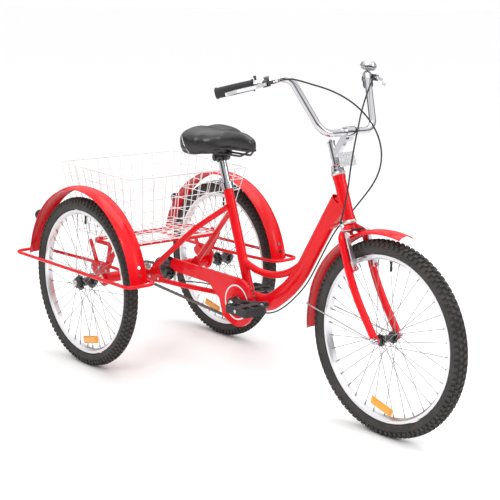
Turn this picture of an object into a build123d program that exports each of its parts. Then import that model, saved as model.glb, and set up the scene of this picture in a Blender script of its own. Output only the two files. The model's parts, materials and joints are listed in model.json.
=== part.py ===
from build123d import *
import os
from math import asin, cos, degrees, hypot, pi, radians, sin, sqrt, tan

# Adult tricycle, millimetres. +X forward, +Y to the rider's left, +Z up.
# The origin is on the ground under the bottom bracket, at the middle of the whole object's box.

# ---------------------------------------------------------------- driving dimensions
# Wheels (24 inch, 507 mm bead seat)
WHEEL_R = 305.0
TYRE_SECTION_R = 27.0
TYRE_WALL = 3.5
RIM_R = 259.0
RIM_HALF_WIDTH = 14.0
RIM_INNER_R = 244.0
SPOKE_R = 1.0
SPOKE_COUNT = 36
SPOKE_OFFSET = 3.4

# Wheel positions
WHEELBASE = 1176.5
REAR_X = -545.5
FRONT_X = REAR_X + WHEELBASE
AXLE_Z = WHEEL_R
TRACK_HALF = 315.0

# Steering axis, from the lower to the upper end of the head tube
HEAD_LOW = (458.5, 643.0)
HEAD_HIGH = (407.5, 777.0)
HEAD_LENGTH = hypot(HEAD_HIGH[0] - HEAD_LOW[0], HEAD_HIGH[1] - HEAD_LOW[1])
HEAD_R = 19.0
HEAD_BORE_R = 16.5
STEERER_R = 14.3
STEERER_BORE_R = 11.1
RUNNING_GAP = 0.06

# Frame tubes
BB_Z = 300.0
BB_SHELL_R = 20.0
BB_SHELL_HALF = 34.0
BB_BORE_R = 17.0
BB_AXLE_R = 8.5
DOWN_TUBE_HALF_DEPTH = 29.0
DOWN_TUBE_HALF_WIDTH = 20.0
CROSS_TUBE_R = 12.0
SEAT_TUBE_R = 17.0
SEAT_TUBE_TOP = (-135.9, 686.0)
SEATPOST_R = 14.3
STAY_R = 10.0
TUBE_WALL = 2.0

# Rear carrier
AXLE_R = 8.5
HOUSING_R = 19.0
HOUSING_BORE_R = 16.0
PLATE = 5.0
GUARD_ROD_R = 6.0
GUARD_ROD_Z = 360.0
MUDGUARD_R = 346.0
MUDGUARD_HALF_WIDTH = 33.0
SHEET = 1.2

# Drive
CHAIN_PITCH = 12.7
RING_TEETH = 36
SPROCKET_TEETH = 18
CHAIN_Y = -48.0
CRANK_LENGTH = 165.0
CRANK_ANGLE = 9.0
PEDAL_Y = 163.0

# Handlebar
BAR_R = 11.1
BAR_BULGE_R = 12.7
BAR_CENTRE = (85.0, 257.0)
GRIP_R = 15.5
CABLE_R = 2.5


# ---------------------------------------------------------------- helpers
def write(shape, label):
    """Label a finished piece and write it as its own STEP file."""
    shape.label = label
    export_step(shape, f"parts/{label}.step")


def rod(start, end, radius, bore=0.0):
    """Round bar or tube between two points."""
    axis = Vector(*end) - Vector(*start)
    with BuildPart() as bar:
        with BuildSketch(Plane(origin=start, z_dir=axis)):
            Circle(radius)
            if bore > 0:
                Circle(bore, mode=Mode.SUBTRACT)
        extrude(amount=axis.length)
    return bar.part


def bent_tube(points, radii, radius, bore=0.0, closed=False):
    """Round tube along straight runs joined by tangent arcs."""
    with BuildPart() as tube:
        with BuildLine() as route:
            FilletPolyline(*points, radius=radii, close=closed)
        with BuildSketch(Plane(origin=route.line @ 0, z_dir=route.line % 0)):
            Circle(radius)
            if bore > 0:
                Circle(bore, mode=Mode.SUBTRACT)
        sweep(path=route.wire())
    return tube.part


def turned(x, z, profile):
    """Solid of revolution about a line along Y at (x, z); the profile is (y, radius) pairs."""
    with BuildPart() as turning:
        with BuildSketch(Plane(origin=(x, 0, z), x_dir=(0, 1, 0), z_dir=(1, 0, 0))):
            with BuildLine():
                Polyline(*profile, close=True)
            make_face()
        revolve(axis=Axis((x, 0, z), (0, 1, 0)))
    return turning.part


def hull_plate(plane, circles, thickness, holes=()):
    """Flat plate on a plane: the hull of circles given as (across, up, radius)."""
    with BuildPart() as plate:
        with BuildSketch(plane):
            for across, up, radius in circles:
                with Locations((across, up)):
                    Circle(radius)
            make_hull()
            for across, up, radius in holes:
                with Locations((across, up)):
                    Circle(radius, mode=Mode.SUBTRACT)
        extrude(amount=thickness)
    return plate.part


def link_plate(circles, y_low, y_high, holes=()):
    """Flat plate in the XZ plane: the hull of circles (x, z, radius), from y_low to y_high."""
    side = Plane(origin=(0, y_high, 0), x_dir=(1, 0, 0), z_dir=(0, -1, 0))
    return hull_plate(side, circles, y_high - y_low, holes)


def mirrored(shape):
    """The same piece on the other side of the centre plane."""
    return mirror(shape, about=Plane.XZ)


def group(shapes):
    """Separate solids that share one node."""
    solids = []
    for shape in shapes:
        solids += shape.solids()
    return Compound(solids)


def lerp(a, b, t):
    """Point between a and b."""
    return tuple(p + (q - p) * t for p, q in zip(a, b))


steer_low = Vector(HEAD_LOW[0], 0, HEAD_LOW[1])
steer_axis = (Vector(HEAD_HIGH[0], 0, HEAD_HIGH[1]) - steer_low).normalized()
steer_fore = Vector(steer_axis.Z, 0, -steer_axis.X)


def steer(u, y, w):
    """Point given ahead of the steering axis (u), sideways (y) and up the axis (w)."""
    p = steer_low + steer_fore * u + Vector(0, y, 0) + steer_axis * w
    return (p.X, p.Y, p.Z)


def steer_turned(profile):
    """Solid of revolution about the steering axis; the profile is (radius, w) pairs."""
    with BuildPart() as turning:
        with BuildSketch(Plane(origin=steer(0, 0, 0), x_dir=steer_fore, z_dir=(0, -1, 0))):
            with BuildLine():
                Polyline(*profile, close=True)
            make_face()
        revolve(axis=Axis(steer(0, 0, 0), steer_axis))
    return turning.part


def steer_plate(circles, u_low, u_high, holes=()):
    """Flat plate square to the fore direction: the hull of circles (y, w, radius)."""
    face = Plane(origin=steer(u_low, 0, 0), x_dir=(0, 1, 0), z_dir=steer_fore)
    return hull_plate(face, circles, u_high - u_low, holes)


# ---------------------------------------------------------------- main frame
seat_axis = (Vector(SEAT_TUBE_TOP[0], 0, SEAT_TUBE_TOP[1]) - Vector(0, 0, BB_Z)).normalized()
seat_length = hypot(SEAT_TUBE_TOP[0], SEAT_TUBE_TOP[1] - BB_Z)


def on_seat_axis(distance, y=0.0):
    """Point on the seat tube's axis, at a distance from the bottom bracket."""
    return (seat_axis.X * distance, y, BB_Z + seat_axis.Z * distance)


with BuildPart() as head_tube:
    add(rod(steer(0, 0, 0), steer(0, 0, HEAD_LENGTH), HEAD_R))
    for w in (0.0, HEAD_LENGTH - 12):
        add(rod(steer(0, 0, w), steer(0, 0, w + 12), HEAD_R + 1.6))
    add(rod(steer(0, 0, -1), steer(0, 0, HEAD_LENGTH + 1), HEAD_BORE_R), mode=Mode.SUBTRACT)
write(head_tube.part, "head_tube")

bb_shell_core = rod((0, -BB_SHELL_HALF, BB_Z), (0, BB_SHELL_HALF, BB_Z), BB_SHELL_R)
bb_bore = rod((0, -BB_SHELL_HALF - 1, BB_Z), (0, BB_SHELL_HALF + 1, BB_Z), BB_BORE_R)
seat_tube_core = rod((0, 0, BB_Z), on_seat_axis(seat_length), SEAT_TUBE_R)
with BuildPart() as seat_tube:
    add(bb_shell_core)
    add(seat_tube_core)
    add(rod(on_seat_axis(30), on_seat_axis(seat_length + 1), SEATPOST_R), mode=Mode.SUBTRACT)
    add(bb_bore, mode=Mode.SUBTRACT)
write(seat_tube.part, "seat_tube")

# The down tube's centre line runs straight from the head tube, then bends twice to reach the shell.
down_route = ((412, 0, 700), (224, 0, 399), (95, 0, 303), (2, 0, 300))
down_bends = (420, 130)


def down_tube_solid(half_depth, half_width):
    """Oval tube along the down tube's line."""
    with BuildPart() as tube:
        with BuildLine() as route:
            FilletPolyline(*down_route, radius=down_bends)
        with BuildSketch(Plane(origin=route.line @ 0, x_dir=(0, 1, 0), z_dir=route.line % 0)):
            Ellipse(half_width, half_depth)
        sweep(path=route.wire())
    return tube.part


down_tube_core = down_tube_solid(DOWN_TUBE_HALF_DEPTH, DOWN_TUBE_HALF_WIDTH)
head_gusset = link_plate([(428, 688, 26), (372, 628, 26)], -15, 15)
with BuildPart() as down_tube:
    add(down_tube_core)
    add(head_gusset)
    inner_depth = DOWN_TUBE_HALF_DEPTH - TUBE_WALL
    inner_width = DOWN_TUBE_HALF_WIDTH - TUBE_WALL
    add(down_tube_solid(inner_depth, inner_width), mode=Mode.SUBTRACT)
    add(rod(steer(0, 0, -60), steer(0, 0, HEAD_LENGTH + 60), HEAD_R), mode=Mode.SUBTRACT)
    add(rod(steer(0, 0, HEAD_LENGTH - 12), steer(0, 0, HEAD_LENGTH), HEAD_R + 1.6), mode=Mode.SUBTRACT)
    add(rod(steer(0, 0, 0), steer(0, 0, 12), HEAD_R + 1.6), mode=Mode.SUBTRACT)
    add(bb_shell_core, mode=Mode.SUBTRACT)
    add(bb_bore, mode=Mode.SUBTRACT)
    add(seat_tube_core, mode=Mode.SUBTRACT)
down_tube_piece = max(down_tube.part.solids(), key=lambda solid: solid.volume)
write(Part([down_tube_piece]), "down_tube")

# The cross tube sags between the down tube and the seat tube.
with BuildPart() as cross_tube:
    with BuildLine() as cross_route:
        ThreePointArc((240, 0, 462), (86, 0, 404), (-46, 0, 432))
    with BuildSketch(Plane(origin=cross_route.line @ 0, z_dir=cross_route.line % 0)):
        Circle(CROSS_TUBE_R)
        Circle(CROSS_TUBE_R - TUBE_WALL, mode=Mode.SUBTRACT)
    sweep(path=cross_route.wire())
    add(down_tube_core, mode=Mode.SUBTRACT)
    add(seat_tube_core, mode=Mode.SUBTRACT)
cross_tube_piece = max(cross_tube.part.solids(), key=lambda solid: solid.volume)
write(Part([cross_tube_piece]), "cross_tube")

# ---------------------------------------------------------------- rear stays and brackets
CARRIER_Y = 85.0
STAY_PLATE_Y = CARRIER_Y + PLATE
PLATE_OUT_Y = STAY_PLATE_Y + PLATE
STAY_END_Y = STAY_PLATE_Y + STAY_R
BRACKET_BOLTS = ((-458, 311), (-404, 309))
BOLT_R = 4.0
seat_stay_route = ((-110, -13, 608), (-236, -60, 517), (-424, -STAY_END_Y, 352))
chain_stay_route = ((-12, -27, 300), (-120, -29, 301), (-300, -76, 304), (-418, -STAY_END_Y + 1, 307))
bolt_holes = [(x, z, BOLT_R) for x, z in BRACKET_BOLTS]
stay_plate = link_plate([(-424, 352, 13), (-462, 311, 13), (-402, 308, 14)],
                        -PLATE_OUT_Y, -STAY_PLATE_Y, bolt_holes)
stay_cut = link_plate([(-424, 352, 13), (-462, 311, 13), (-402, 308, 14)], -PLATE_OUT_Y, -STAY_PLATE_Y + 30)
with BuildPart() as seat_stay:
    add(bent_tube(seat_stay_route, [500], STAY_R, STAY_R - TUBE_WALL))
    add(seat_tube_core, mode=Mode.SUBTRACT)
    add(stay_cut, mode=Mode.SUBTRACT)
with BuildPart() as chain_stay:
    add(bent_tube(chain_stay_route, [250, 200], STAY_R - 1, STAY_R - 1 - TUBE_WALL))
    add(bb_shell_core, mode=Mode.SUBTRACT)
    add(bb_bore, mode=Mode.SUBTRACT)
    add(stay_cut, mode=Mode.SUBTRACT)
    add(link_plate([(-458, 311, 9), (-404, 309, 9)], -PLATE_OUT_Y - 20, -PLATE_OUT_Y), mode=Mode.SUBTRACT)


def main_solid(part):
    """Largest solid of a part, without offcuts."""
    return max(part.solids(), key=lambda solid: solid.volume)


seat_stay_right = main_solid(seat_stay.part)
chain_stay_right = main_solid(chain_stay.part)
stay_brace = rod((-292, -69, 471), (-292, 69, 471), 6, 4.5)
with BuildPart() as brace:
    add(stay_brace)
    for side in (seat_stay_route, tuple((x, -y, z) for x, y, z in seat_stay_route)):
        add(bent_tube(side, [500], STAY_R), mode=Mode.SUBTRACT)
right_stays = [seat_stay_right, chain_stay_right]
write(group(right_stays + [mirrored(stay) for stay in right_stays] + [main_solid(brace.part)]), "rear_stays")

carrier_plate = link_plate([(REAR_X, AXLE_Z, 27), (-462, 311, 14), (-402, 308, 14)],
                           -STAY_PLATE_Y, -CARRIER_Y, bolt_holes + [(REAR_X, AXLE_Z, HOUSING_BORE_R)])
write(group([stay_plate, carrier_plate, mirrored(stay_plate), mirrored(carrier_plate)]), "bracket_plates")

# ---------------------------------------------------------------- rear carrier
HOUSING_END_Y = 250.0
HUB_PLATE_Y = 236.0
PLATFORM_Z = 432.0
PLATFORM_R = 8.0
PLATFORM_Y = HUB_PLATE_Y - PLATE - PLATFORM_R
PLATFORM_REAR_X = -640.0
PLATFORM_FRONT_X = -462.0
LOOP_FRONT_X = -180.0
LOOP_REAR_X = -930.0
LOOP_INNER_Y = HUB_PLATE_Y + PLATE + GUARD_ROD_R
LOOP_OUTER_Y = 381.0
LOOP_BOLTS = ((-612, 338), (-570, 343), (-522, 338))

housing = rod((REAR_X, -HOUSING_END_Y, AXLE_Z), (REAR_X, -STAY_PLATE_Y, AXLE_Z), HOUSING_R, HOUSING_BORE_R)

hub_plate = link_plate([(REAR_X, AXLE_Z, 28), (-612, 338, 14), (-522, 338, 14), (-600, 358, 8), (-530, 358, 8)],
                       -HUB_PLATE_Y - PLATE, -HUB_PLATE_Y, [(REAR_X, AXLE_Z, HOUSING_R)])
with BuildPart() as strut_fan:
    add(link_plate([(-532, 340, 10), (-506, 434, 10)], -HUB_PLATE_Y, -HUB_PLATE_Y + PLATE))
    add(link_plate([(-532, 340, 10), (PLATFORM_FRONT_X - 6, 430, 8)], -HUB_PLATE_Y, -HUB_PLATE_Y + PLATE))
    add(link_plate([(-590, 345, 10), (PLATFORM_REAR_X + 6, 430, 8)], -HUB_PLATE_Y, -HUB_PLATE_Y + PLATE))
    add(link_plate([(-532, 340, 10), (-590, 345, 10)], -HUB_PLATE_Y, -HUB_PLATE_Y + PLATE))
right_carrier = [housing, hub_plate, strut_fan.part]
write(group(right_carrier + [mirrored(piece) for piece in right_carrier]), "axle_housings")

with BuildPart() as basket_platform:
    with BuildLine() as hoop:
        Line((-550, -PLATFORM_Y, PLATFORM_Z), (-551, -PLATFORM_Y, PLATFORM_Z))
        FilletPolyline((-551, -PLATFORM_Y, PLATFORM_Z), (PLATFORM_REAR_X, -PLATFORM_Y, PLATFORM_Z),
                       (PLATFORM_REAR_X, PLATFORM_Y, PLATFORM_Z), (PLATFORM_FRONT_X, PLATFORM_Y, PLATFORM_Z),
                       (PLATFORM_FRONT_X, -PLATFORM_Y, PLATFORM_Z), (-550, -PLATFORM_Y, PLATFORM_Z),
                       radius=40)
    with BuildSketch(Plane(origin=hoop.line @ 0, z_dir=hoop.line % 0)):
        Circle(PLATFORM_R)
    sweep(path=hoop.wire())
write(basket_platform.part, "basket_platform")


def guard_loop(side):
    """Closed rod loop round a rear wheel."""
    corners = [(LOOP_FRONT_X, LOOP_OUTER_Y), (LOOP_FRONT_X, 270), (-450, LOOP_INNER_Y),
               (-640, LOOP_INNER_Y), (LOOP_REAR_X, 270), (LOOP_REAR_X, LOOP_OUTER_Y)]
    points = [(x, side * y, GUARD_ROD_Z) for x, y in corners]
    start = (-550, side * LOOP_OUTER_Y, GUARD_ROD_Z)
    with BuildPart() as loop:
        with BuildLine() as route:
            FilletPolyline(start, *points, (-551, side * LOOP_OUTER_Y, GUARD_ROD_Z),
                           radius=[34, 34, 300, 300, 34, 34])
            Line((-551, side * LOOP_OUTER_Y, GUARD_ROD_Z), start)
        with BuildSketch(Plane(origin=route.line @ 0, z_dir=route.line % 0)):
            Circle(GUARD_ROD_R)
        sweep(path=route.wire())
    return loop.part


write(group([guard_loop(-1), guard_loop(1)]), "wheel_guard_loops")


def mudguard(x, y, radius, half, first_angle, arc):
    """Rolled-edge mudguard: a shallow channel revolved about an axle, angles from +X upwards."""
    crown = 11.0
    radial = Vector(cos(radians(first_angle)), 0, sin(radians(first_angle)))
    section = Plane(origin=(x, y, AXLE_Z), x_dir=(0, 1, 0), z_dir=Vector(0, 1, 0).cross(radial))
    with BuildPart() as guard:
        with BuildSketch(section):
            with BuildLine():
                top = ThreePointArc((-half, radius - crown), (0, radius), (half, radius - crown))
                offset(top, amount=SHEET, side=Side.RIGHT)
            make_face()
            for side in (-half, half):
                with Locations((side, radius - crown)):
                    Circle(1.8)
        revolve(axis=Axis((x, y, AXLE_Z), (0, -1, 0)), revolution_arc=arc)
    return guard.part


rear_mudguard = mudguard(REAR_X, -TRACK_HALF, MUDGUARD_R, MUDGUARD_HALF_WIDTH, 9.0, 162.0)
write(group([rear_mudguard, mirrored(rear_mudguard)]), "rear_mudguards")

# ---------------------------------------------------------------- basket
BASKET_RIM = ((-785, -260, 708), (-785, 260, 708), (-342, 260, 692), (-342, -260, 692))
BASKET_FLOOR = ((-742, -212, 446), (-742, 212, 446), (-398, 212, 446), (-398, -212, 446))
BASKET_ROWS = 6
BASKET_COLUMNS = (10, 9, 10, 9)
WIRE_R = 1.5
RIM_WIRE_R = 3.0


def basket_wires():
    """Straight wires of the tapered basket; crossing wires lie one on the other."""
    wires = []
    for k in range(4):
        rim_a, rim_b = BASKET_RIM[k], BASKET_RIM[(k + 1) % 4]
        floor_a, floor_b = BASKET_FLOOR[k], BASKET_FLOOR[(k + 1) % 4]
        wires.append(rod(lerp(rim_a, rim_b, 0.004), lerp(rim_b, rim_a, 0.004), RIM_WIRE_R))
        outward = (Vector(*rim_b) - Vector(*rim_a)).cross(Vector(*floor_a) - Vector(*rim_a)).normalized()
        lift = outward * (2 * WIRE_R + 0.1)
        for column in range(BASKET_COLUMNS[k]):
            t = column / BASKET_COLUMNS[k]
            top, foot = lerp(rim_a, rim_b, t), lerp(floor_a, floor_b, t)
            wires.append(rod(lerp(top, foot, 0.018), lerp(top, foot, 0.985), WIRE_R))
        for row in range(1, BASKET_ROWS + 1):
            t = row / BASKET_ROWS if row < BASKET_ROWS else 0.975
            left = Vector(*lerp(rim_a, floor_a, t)) + lift
            right = Vector(*lerp(rim_b, floor_b, t)) + lift
            wires.append(rod(lerp(left, right, 0.006), lerp(right, left, 0.006), WIRE_R))
    x_low, y_high = BASKET_FLOOR[1][0], BASKET_FLOOR[1][1]
    x_high = BASKET_FLOOR[2][0]
    z = BASKET_FLOOR[0][2]
    for column in range(1, BASKET_COLUMNS[0]):
        y = -y_high + 2 * y_high * column / BASKET_COLUMNS[0]
        wires.append(rod((x_low + 3, y, z), (x_high - 3, y, z), WIRE_R))
    for column in range(1, BASKET_COLUMNS[1]):
        x = x_low + (x_high - x_low) * column / BASKET_COLUMNS[1]
        low = z - 2 * WIRE_R - 0.1
        wires.append(rod((x, -y_high + 3, low), (x, y_high - 3, low), WIRE_R))
    return wires


write(group(basket_wires()), "basket")

# ---------------------------------------------------------------- fasteners and bearings of the frame
BOLT_HEAD_R = 7.0


def through_bolt(x, z, y_head, y_nut, head=5.0):
    """Bolt along Y with a domed head at y_head and a nut at y_nut."""
    outward = 1 if y_head > y_nut else -1
    profile = [(y_nut - outward * head, 0), (y_nut - outward * head, BOLT_HEAD_R), (y_nut, BOLT_HEAD_R),
               (y_nut, BOLT_R), (y_head, BOLT_R), (y_head, BOLT_HEAD_R),
               (y_head + outward * head * 0.6, BOLT_HEAD_R), (y_head + outward * head, BOLT_HEAD_R * 0.6),
               (y_head + outward * head, 0)]
    return turned(x, z, profile)


def mudguard_bolt(angle):
    """Dome bolt through the right mudguard's skirt, pointing along the wheel's radius."""
    radial = (cos(radians(angle)), 0, sin(radians(angle)))
    foot = (REAR_X + radial[0] * (MUDGUARD_R + 0.1), -TRACK_HALF, AXLE_Z + radial[2] * (MUDGUARD_R + 0.1))
    tip = (REAR_X + radial[0] * (MUDGUARD_R + 3.5), -TRACK_HALF, AXLE_Z + radial[2] * (MUDGUARD_R + 3.5))
    return rod(foot, tip, 5.5)


def mudguard_spacer(x_rod, angle):
    """Spacer between a guard loop and the mudguard's end."""
    x_skin = REAR_X + cos(radians(angle)) * (MUDGUARD_R + 0.3)
    return rod((x_rod, -TRACK_HALF, GUARD_ROD_Z), (x_skin, -TRACK_HALF, GUARD_ROD_Z), 4.5)


right_fasteners = [through_bolt(x, z, -PLATE_OUT_Y, -CARRIER_Y) for x, z in BRACKET_BOLTS]
for x, z in LOOP_BOLTS:
    right_fasteners.append(turned(x, z, [(-HUB_PLATE_Y - PLATE, 0), (-HUB_PLATE_Y - PLATE, 6),
                                         (-HUB_PLATE_Y - PLATE - 3, 6), (-HUB_PLATE_Y - PLATE - 4, 4),
                                         (-HUB_PLATE_Y - PLATE - 4, 0)]))
for angle in (14.0, 18.5, 161.5, 166.0):
    right_fasteners.append(mudguard_bolt(angle))
rod_angle = degrees(asin((GUARD_ROD_Z - AXLE_Z) / MUDGUARD_R))
right_fasteners.append(mudguard_spacer(LOOP_FRONT_X - GUARD_ROD_R, rod_angle))
right_fasteners.append(mudguard_spacer(LOOP_REAR_X + GUARD_ROD_R, 180 - rod_angle))
write(group(right_fasteners + [mirrored(piece) for piece in right_fasteners]), "frame_bolts")


def ring(x, z, y_low, y_high, outer, inner):
    """Plain ring about a line along Y."""
    return turned(x, z, [(y_low, inner), (y_high, inner), (y_high, outer), (y_low, outer)])


bearings = []
for side in (-1, 1):
    for near, far in ((CARRIER_Y, CARRIER_Y + 12), (HOUSING_END_Y - 12, HOUSING_END_Y)):
        low, high = sorted((side * near, side * far))
        bearings.append(ring(REAR_X, AXLE_Z, low, high, HOUSING_BORE_R, AXLE_R + RUNNING_GAP))
    low, high = sorted((side * (BB_SHELL_HALF - 12), side * BB_SHELL_HALF))
    bearings.append(ring(0, BB_Z, low, high, BB_BORE_R, BB_AXLE_R + RUNNING_GAP))
CUP_HEIGHT = 10.0
for w_low, w_high, lip in ((-CUP_HEIGHT, 0, 21.5), (HEAD_LENGTH, HEAD_LENGTH + CUP_HEIGHT, 21.5)):
    inner = STEERER_R + RUNNING_GAP
    bearings.append(steer_turned([(inner, w_low), (lip, w_low), (lip + 1.5, (w_low + w_high) / 2),
                                  (lip, w_high), (inner, w_high)]))
write(group(bearings), "frame_bearings")

# ---------------------------------------------------------------- drive
RING_R = CHAIN_PITCH / sin(pi / RING_TEETH) / 2
SPROCKET_R = CHAIN_PITCH / sin(pi / SPROCKET_TEETH) / 2
TOOTH_HALF = 1.2
ROLLER_R = 3.9
CHAIN_HALF_HEIGHT = 4.2
CHAIN_PLATE = 1.2


def toothed_disc(x, z, teeth, pitch_r, y_low, y_high, phase):
    """Sprocket blank with a roller seat between each pair of teeth."""
    with BuildPart() as disc:
        with BuildSketch(Plane(origin=(x, y_low, z), x_dir=(1, 0, 0), z_dir=(0, -1, 0))):
            Circle(pitch_r + 2.8)
            with PolarLocations(pitch_r, teeth, start_angle=phase):
                Circle(ROLLER_R, mode=Mode.SUBTRACT)
            with PolarLocations(pitch_r + 3.6, teeth, start_angle=phase):
                Circle(ROLLER_R, mode=Mode.SUBTRACT)
        extrude(amount=-(y_high - y_low))
    return disc.part


with BuildPart() as chainring:
    add(toothed_disc(0, BB_Z, RING_TEETH, RING_R, CHAIN_Y - TOOTH_HALF, CHAIN_Y + TOOTH_HALF, 0))
    ring_face = Plane(origin=(0, CHAIN_Y + TOOTH_HALF, BB_Z), x_dir=(1, 0, 0), z_dir=(0, -1, 0))
    with BuildSketch(ring_face):
        with PolarLocations(43, 5):
            Circle(15)
    extrude(amount=2 * TOOTH_HALF, mode=Mode.SUBTRACT)
    add(rod((0, CHAIN_Y - 4, BB_Z), (0, CHAIN_Y + 4, BB_Z), 20))
    add(rod((0, CHAIN_Y - 5, BB_Z), (0, CHAIN_Y + 5, BB_Z), BB_AXLE_R), mode=Mode.SUBTRACT)
write(chainring.part, "chainring")


def chain_band(y_low, y_high):
    """One side of the chain: a closed strip round the chainring and the freewheel."""
    with BuildPart() as band:
        with BuildSketch(Plane(origin=(0, y_low, 0), x_dir=(1, 0, 0), z_dir=(0, -1, 0))):
            for offset_r, mode in ((CHAIN_HALF_HEIGHT, Mode.ADD), (-CHAIN_HALF_HEIGHT, Mode.SUBTRACT)):
                with BuildSketch(mode=mode):
                    with Locations((0, BB_Z)):
                        Circle(RING_R + offset_r)
                    with Locations((REAR_X, AXLE_Z)):
                        Circle(SPROCKET_R + offset_r)
                    make_hull()
        extrude(amount=-(y_high - y_low))
    return band.part


inner_face = TOOTH_HALF + 0.8
write(group([chain_band(CHAIN_Y - inner_face - CHAIN_PLATE, CHAIN_Y - inner_face),
             chain_band(CHAIN_Y + inner_face, CHAIN_Y + inner_face + CHAIN_PLATE)]), "chain")

# Crank axle with the pedal spindles; everything in this group turns with the pedals.
CRANK_IN_Y = 74.0
CRANK_OUT_Y = 88.0
crank_dir = (cos(radians(CRANK_ANGLE)), sin(radians(CRANK_ANGLE)))
crank_end = (CRANK_LENGTH * crank_dir[0], CRANK_LENGTH * crank_dir[1])
SPINDLE_R = 6.0
PEDAL_HALF_WIDTH = 46.0


def crank_arm(side):
    """Forged arm with a boss on the crank axle and an eye for the pedal spindle."""
    x_end, z_end = side * -crank_end[0], BB_Z + side * -crank_end[1]
    inner, outer = sorted((side * CRANK_IN_Y, side * CRANK_OUT_Y))
    boss_in, boss_out = sorted((side * (CRANK_IN_Y - 6), side * (CRANK_OUT_Y + 4)))
    eye_in, eye_out = sorted((side * (CRANK_IN_Y - 1), side * (CRANK_OUT_Y + 5)))
    with BuildPart() as arm:
        add(link_plate([(0, BB_Z, 14), (x_end * 0.97, BB_Z + (z_end - BB_Z) * 0.97, 10)], inner, outer))
        fillet(arm.edges().filter_by(GeomType.LINE), 3)
        add(rod((0, boss_in, BB_Z), (0, boss_out, BB_Z), 18))
        add(rod((x_end, eye_in, z_end), (x_end, eye_out, z_end), 13))
        add(rod((0, boss_in - 1, BB_Z), (0, boss_out + 1, BB_Z), BB_AXLE_R), mode=Mode.SUBTRACT)
        add(rod((x_end, eye_in - 1, z_end), (x_end, eye_out + 1, z_end), SPINDLE_R), mode=Mode.SUBTRACT)
    return arm.part


write(group([crank_arm(-1), crank_arm(1)]), "crank_arms")

axle_end = CRANK_OUT_Y + 4
crank_axle = turned(0, BB_Z, [(-axle_end - 4, 0), (-axle_end - 4, 8), (-axle_end, 11), (-axle_end, BB_AXLE_R),
                              (axle_end, BB_AXLE_R), (axle_end, 11), (axle_end + 4, 8), (axle_end + 4, 0)])
spindle_end = PEDAL_Y + PEDAL_HALF_WIDTH
spindles = []
for side in (-1, 1):
    profile = [(side * (CRANK_IN_Y - 1), 0), (side * (CRANK_IN_Y - 1), SPINDLE_R),
               (side * (CRANK_OUT_Y + 5), SPINDLE_R), (side * (CRANK_OUT_Y + 5), 9),
               (side * (CRANK_OUT_Y + 12), 9), (side * (CRANK_OUT_Y + 12), SPINDLE_R),
               (side * spindle_end, SPINDLE_R), (side * spindle_end, 0)]
    spindles.append(turned(side * -crank_end[0], BB_Z - side * crank_end[1], profile))
write(group([crank_axle] + spindles), "crank_axle")


def pedal(side):
    """Resin platform pedal: a barrel, two toothed side rails, end plates and cross ribs."""
    x, z = side * -crank_end[0], BB_Z - side * crank_end[1]
    y_low, y_high = sorted((side * (PEDAL_Y - PEDAL_HALF_WIDTH), side * (PEDAL_Y + PEDAL_HALF_WIDTH)))
    with BuildPart() as block:
        with BuildSketch(Plane(origin=(x, (y_low + y_high) / 2, z - 12))):
            RectangleRounded(104, y_high - y_low, 10)
            with GridLocations(52, 40, 2, 2):
                RectangleRounded(26, 31, 4, mode=Mode.SUBTRACT)
        extrude(amount=24)
        with BuildSketch(Plane(origin=(x, (y_low + y_high) / 2, z - 14))):
            for rail in (-48, 48):
                with Locations((rail, 0)):
                    with GridLocations(8, 12, 1, 7):
                        RectangleRounded(7, 7, 2)
        extrude(amount=28)
        add(rod((x, y_low, z), (x, y_high, z), 11))
        add(rod((x, y_low - 1, z), (x, y_high + 1, z), SPINDLE_R + RUNNING_GAP), mode=Mode.SUBTRACT)
    return block.part


write(pedal(-1), "pedal_right")
write(pedal(1), "pedal_left")

# Chain guard: a round cover over the chainring with an arm back along the upper run.
GUARD_R = 84.0
GUARD_Y = 66.5
GUARD_HOLE_R = 24.0
with BuildPart() as chain_guard:
    with BuildSketch(Plane(origin=(0, -GUARD_Y, 0), x_dir=(1, 0, 0), z_dir=(0, -1, 0))) as guard_outline:
        with BuildSketch():
            with Locations((-352, 368)):
                Circle(20)
            with Locations((0, BB_Z)):
                Circle(GUARD_R)
            make_hull()
        with BuildSketch(mode=Mode.SUBTRACT):
            with BuildLine():
                Polyline((-400, 346), (-150, 338), (-93, 296), (-60, 200), (-400, 200), close=True)
            make_face()
        with Locations((0, BB_Z)):
            Circle(GUARD_R)
        with Locations((0, BB_Z)):
            Circle(GUARD_HOLE_R, mode=Mode.SUBTRACT)
    extrude(amount=-1.5)
    with BuildSketch(Plane(origin=(0, -GUARD_Y, 0), x_dir=(1, 0, 0), z_dir=(0, -1, 0))):
        add(guard_outline.sketch)
        offset(guard_outline.sketch, amount=-1.5, mode=Mode.SUBTRACT)
        with Locations((0, BB_Z)):
            Circle(GUARD_HOLE_R + 4, mode=Mode.SUBTRACT)
        with Locations((-250, 300)):
            Rectangle(260, 84, mode=Mode.SUBTRACT)
    extrude(amount=-11)
guard_piece = main_solid(chain_guard.part)
write(Part([guard_piece]), "chain_guard")

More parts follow.
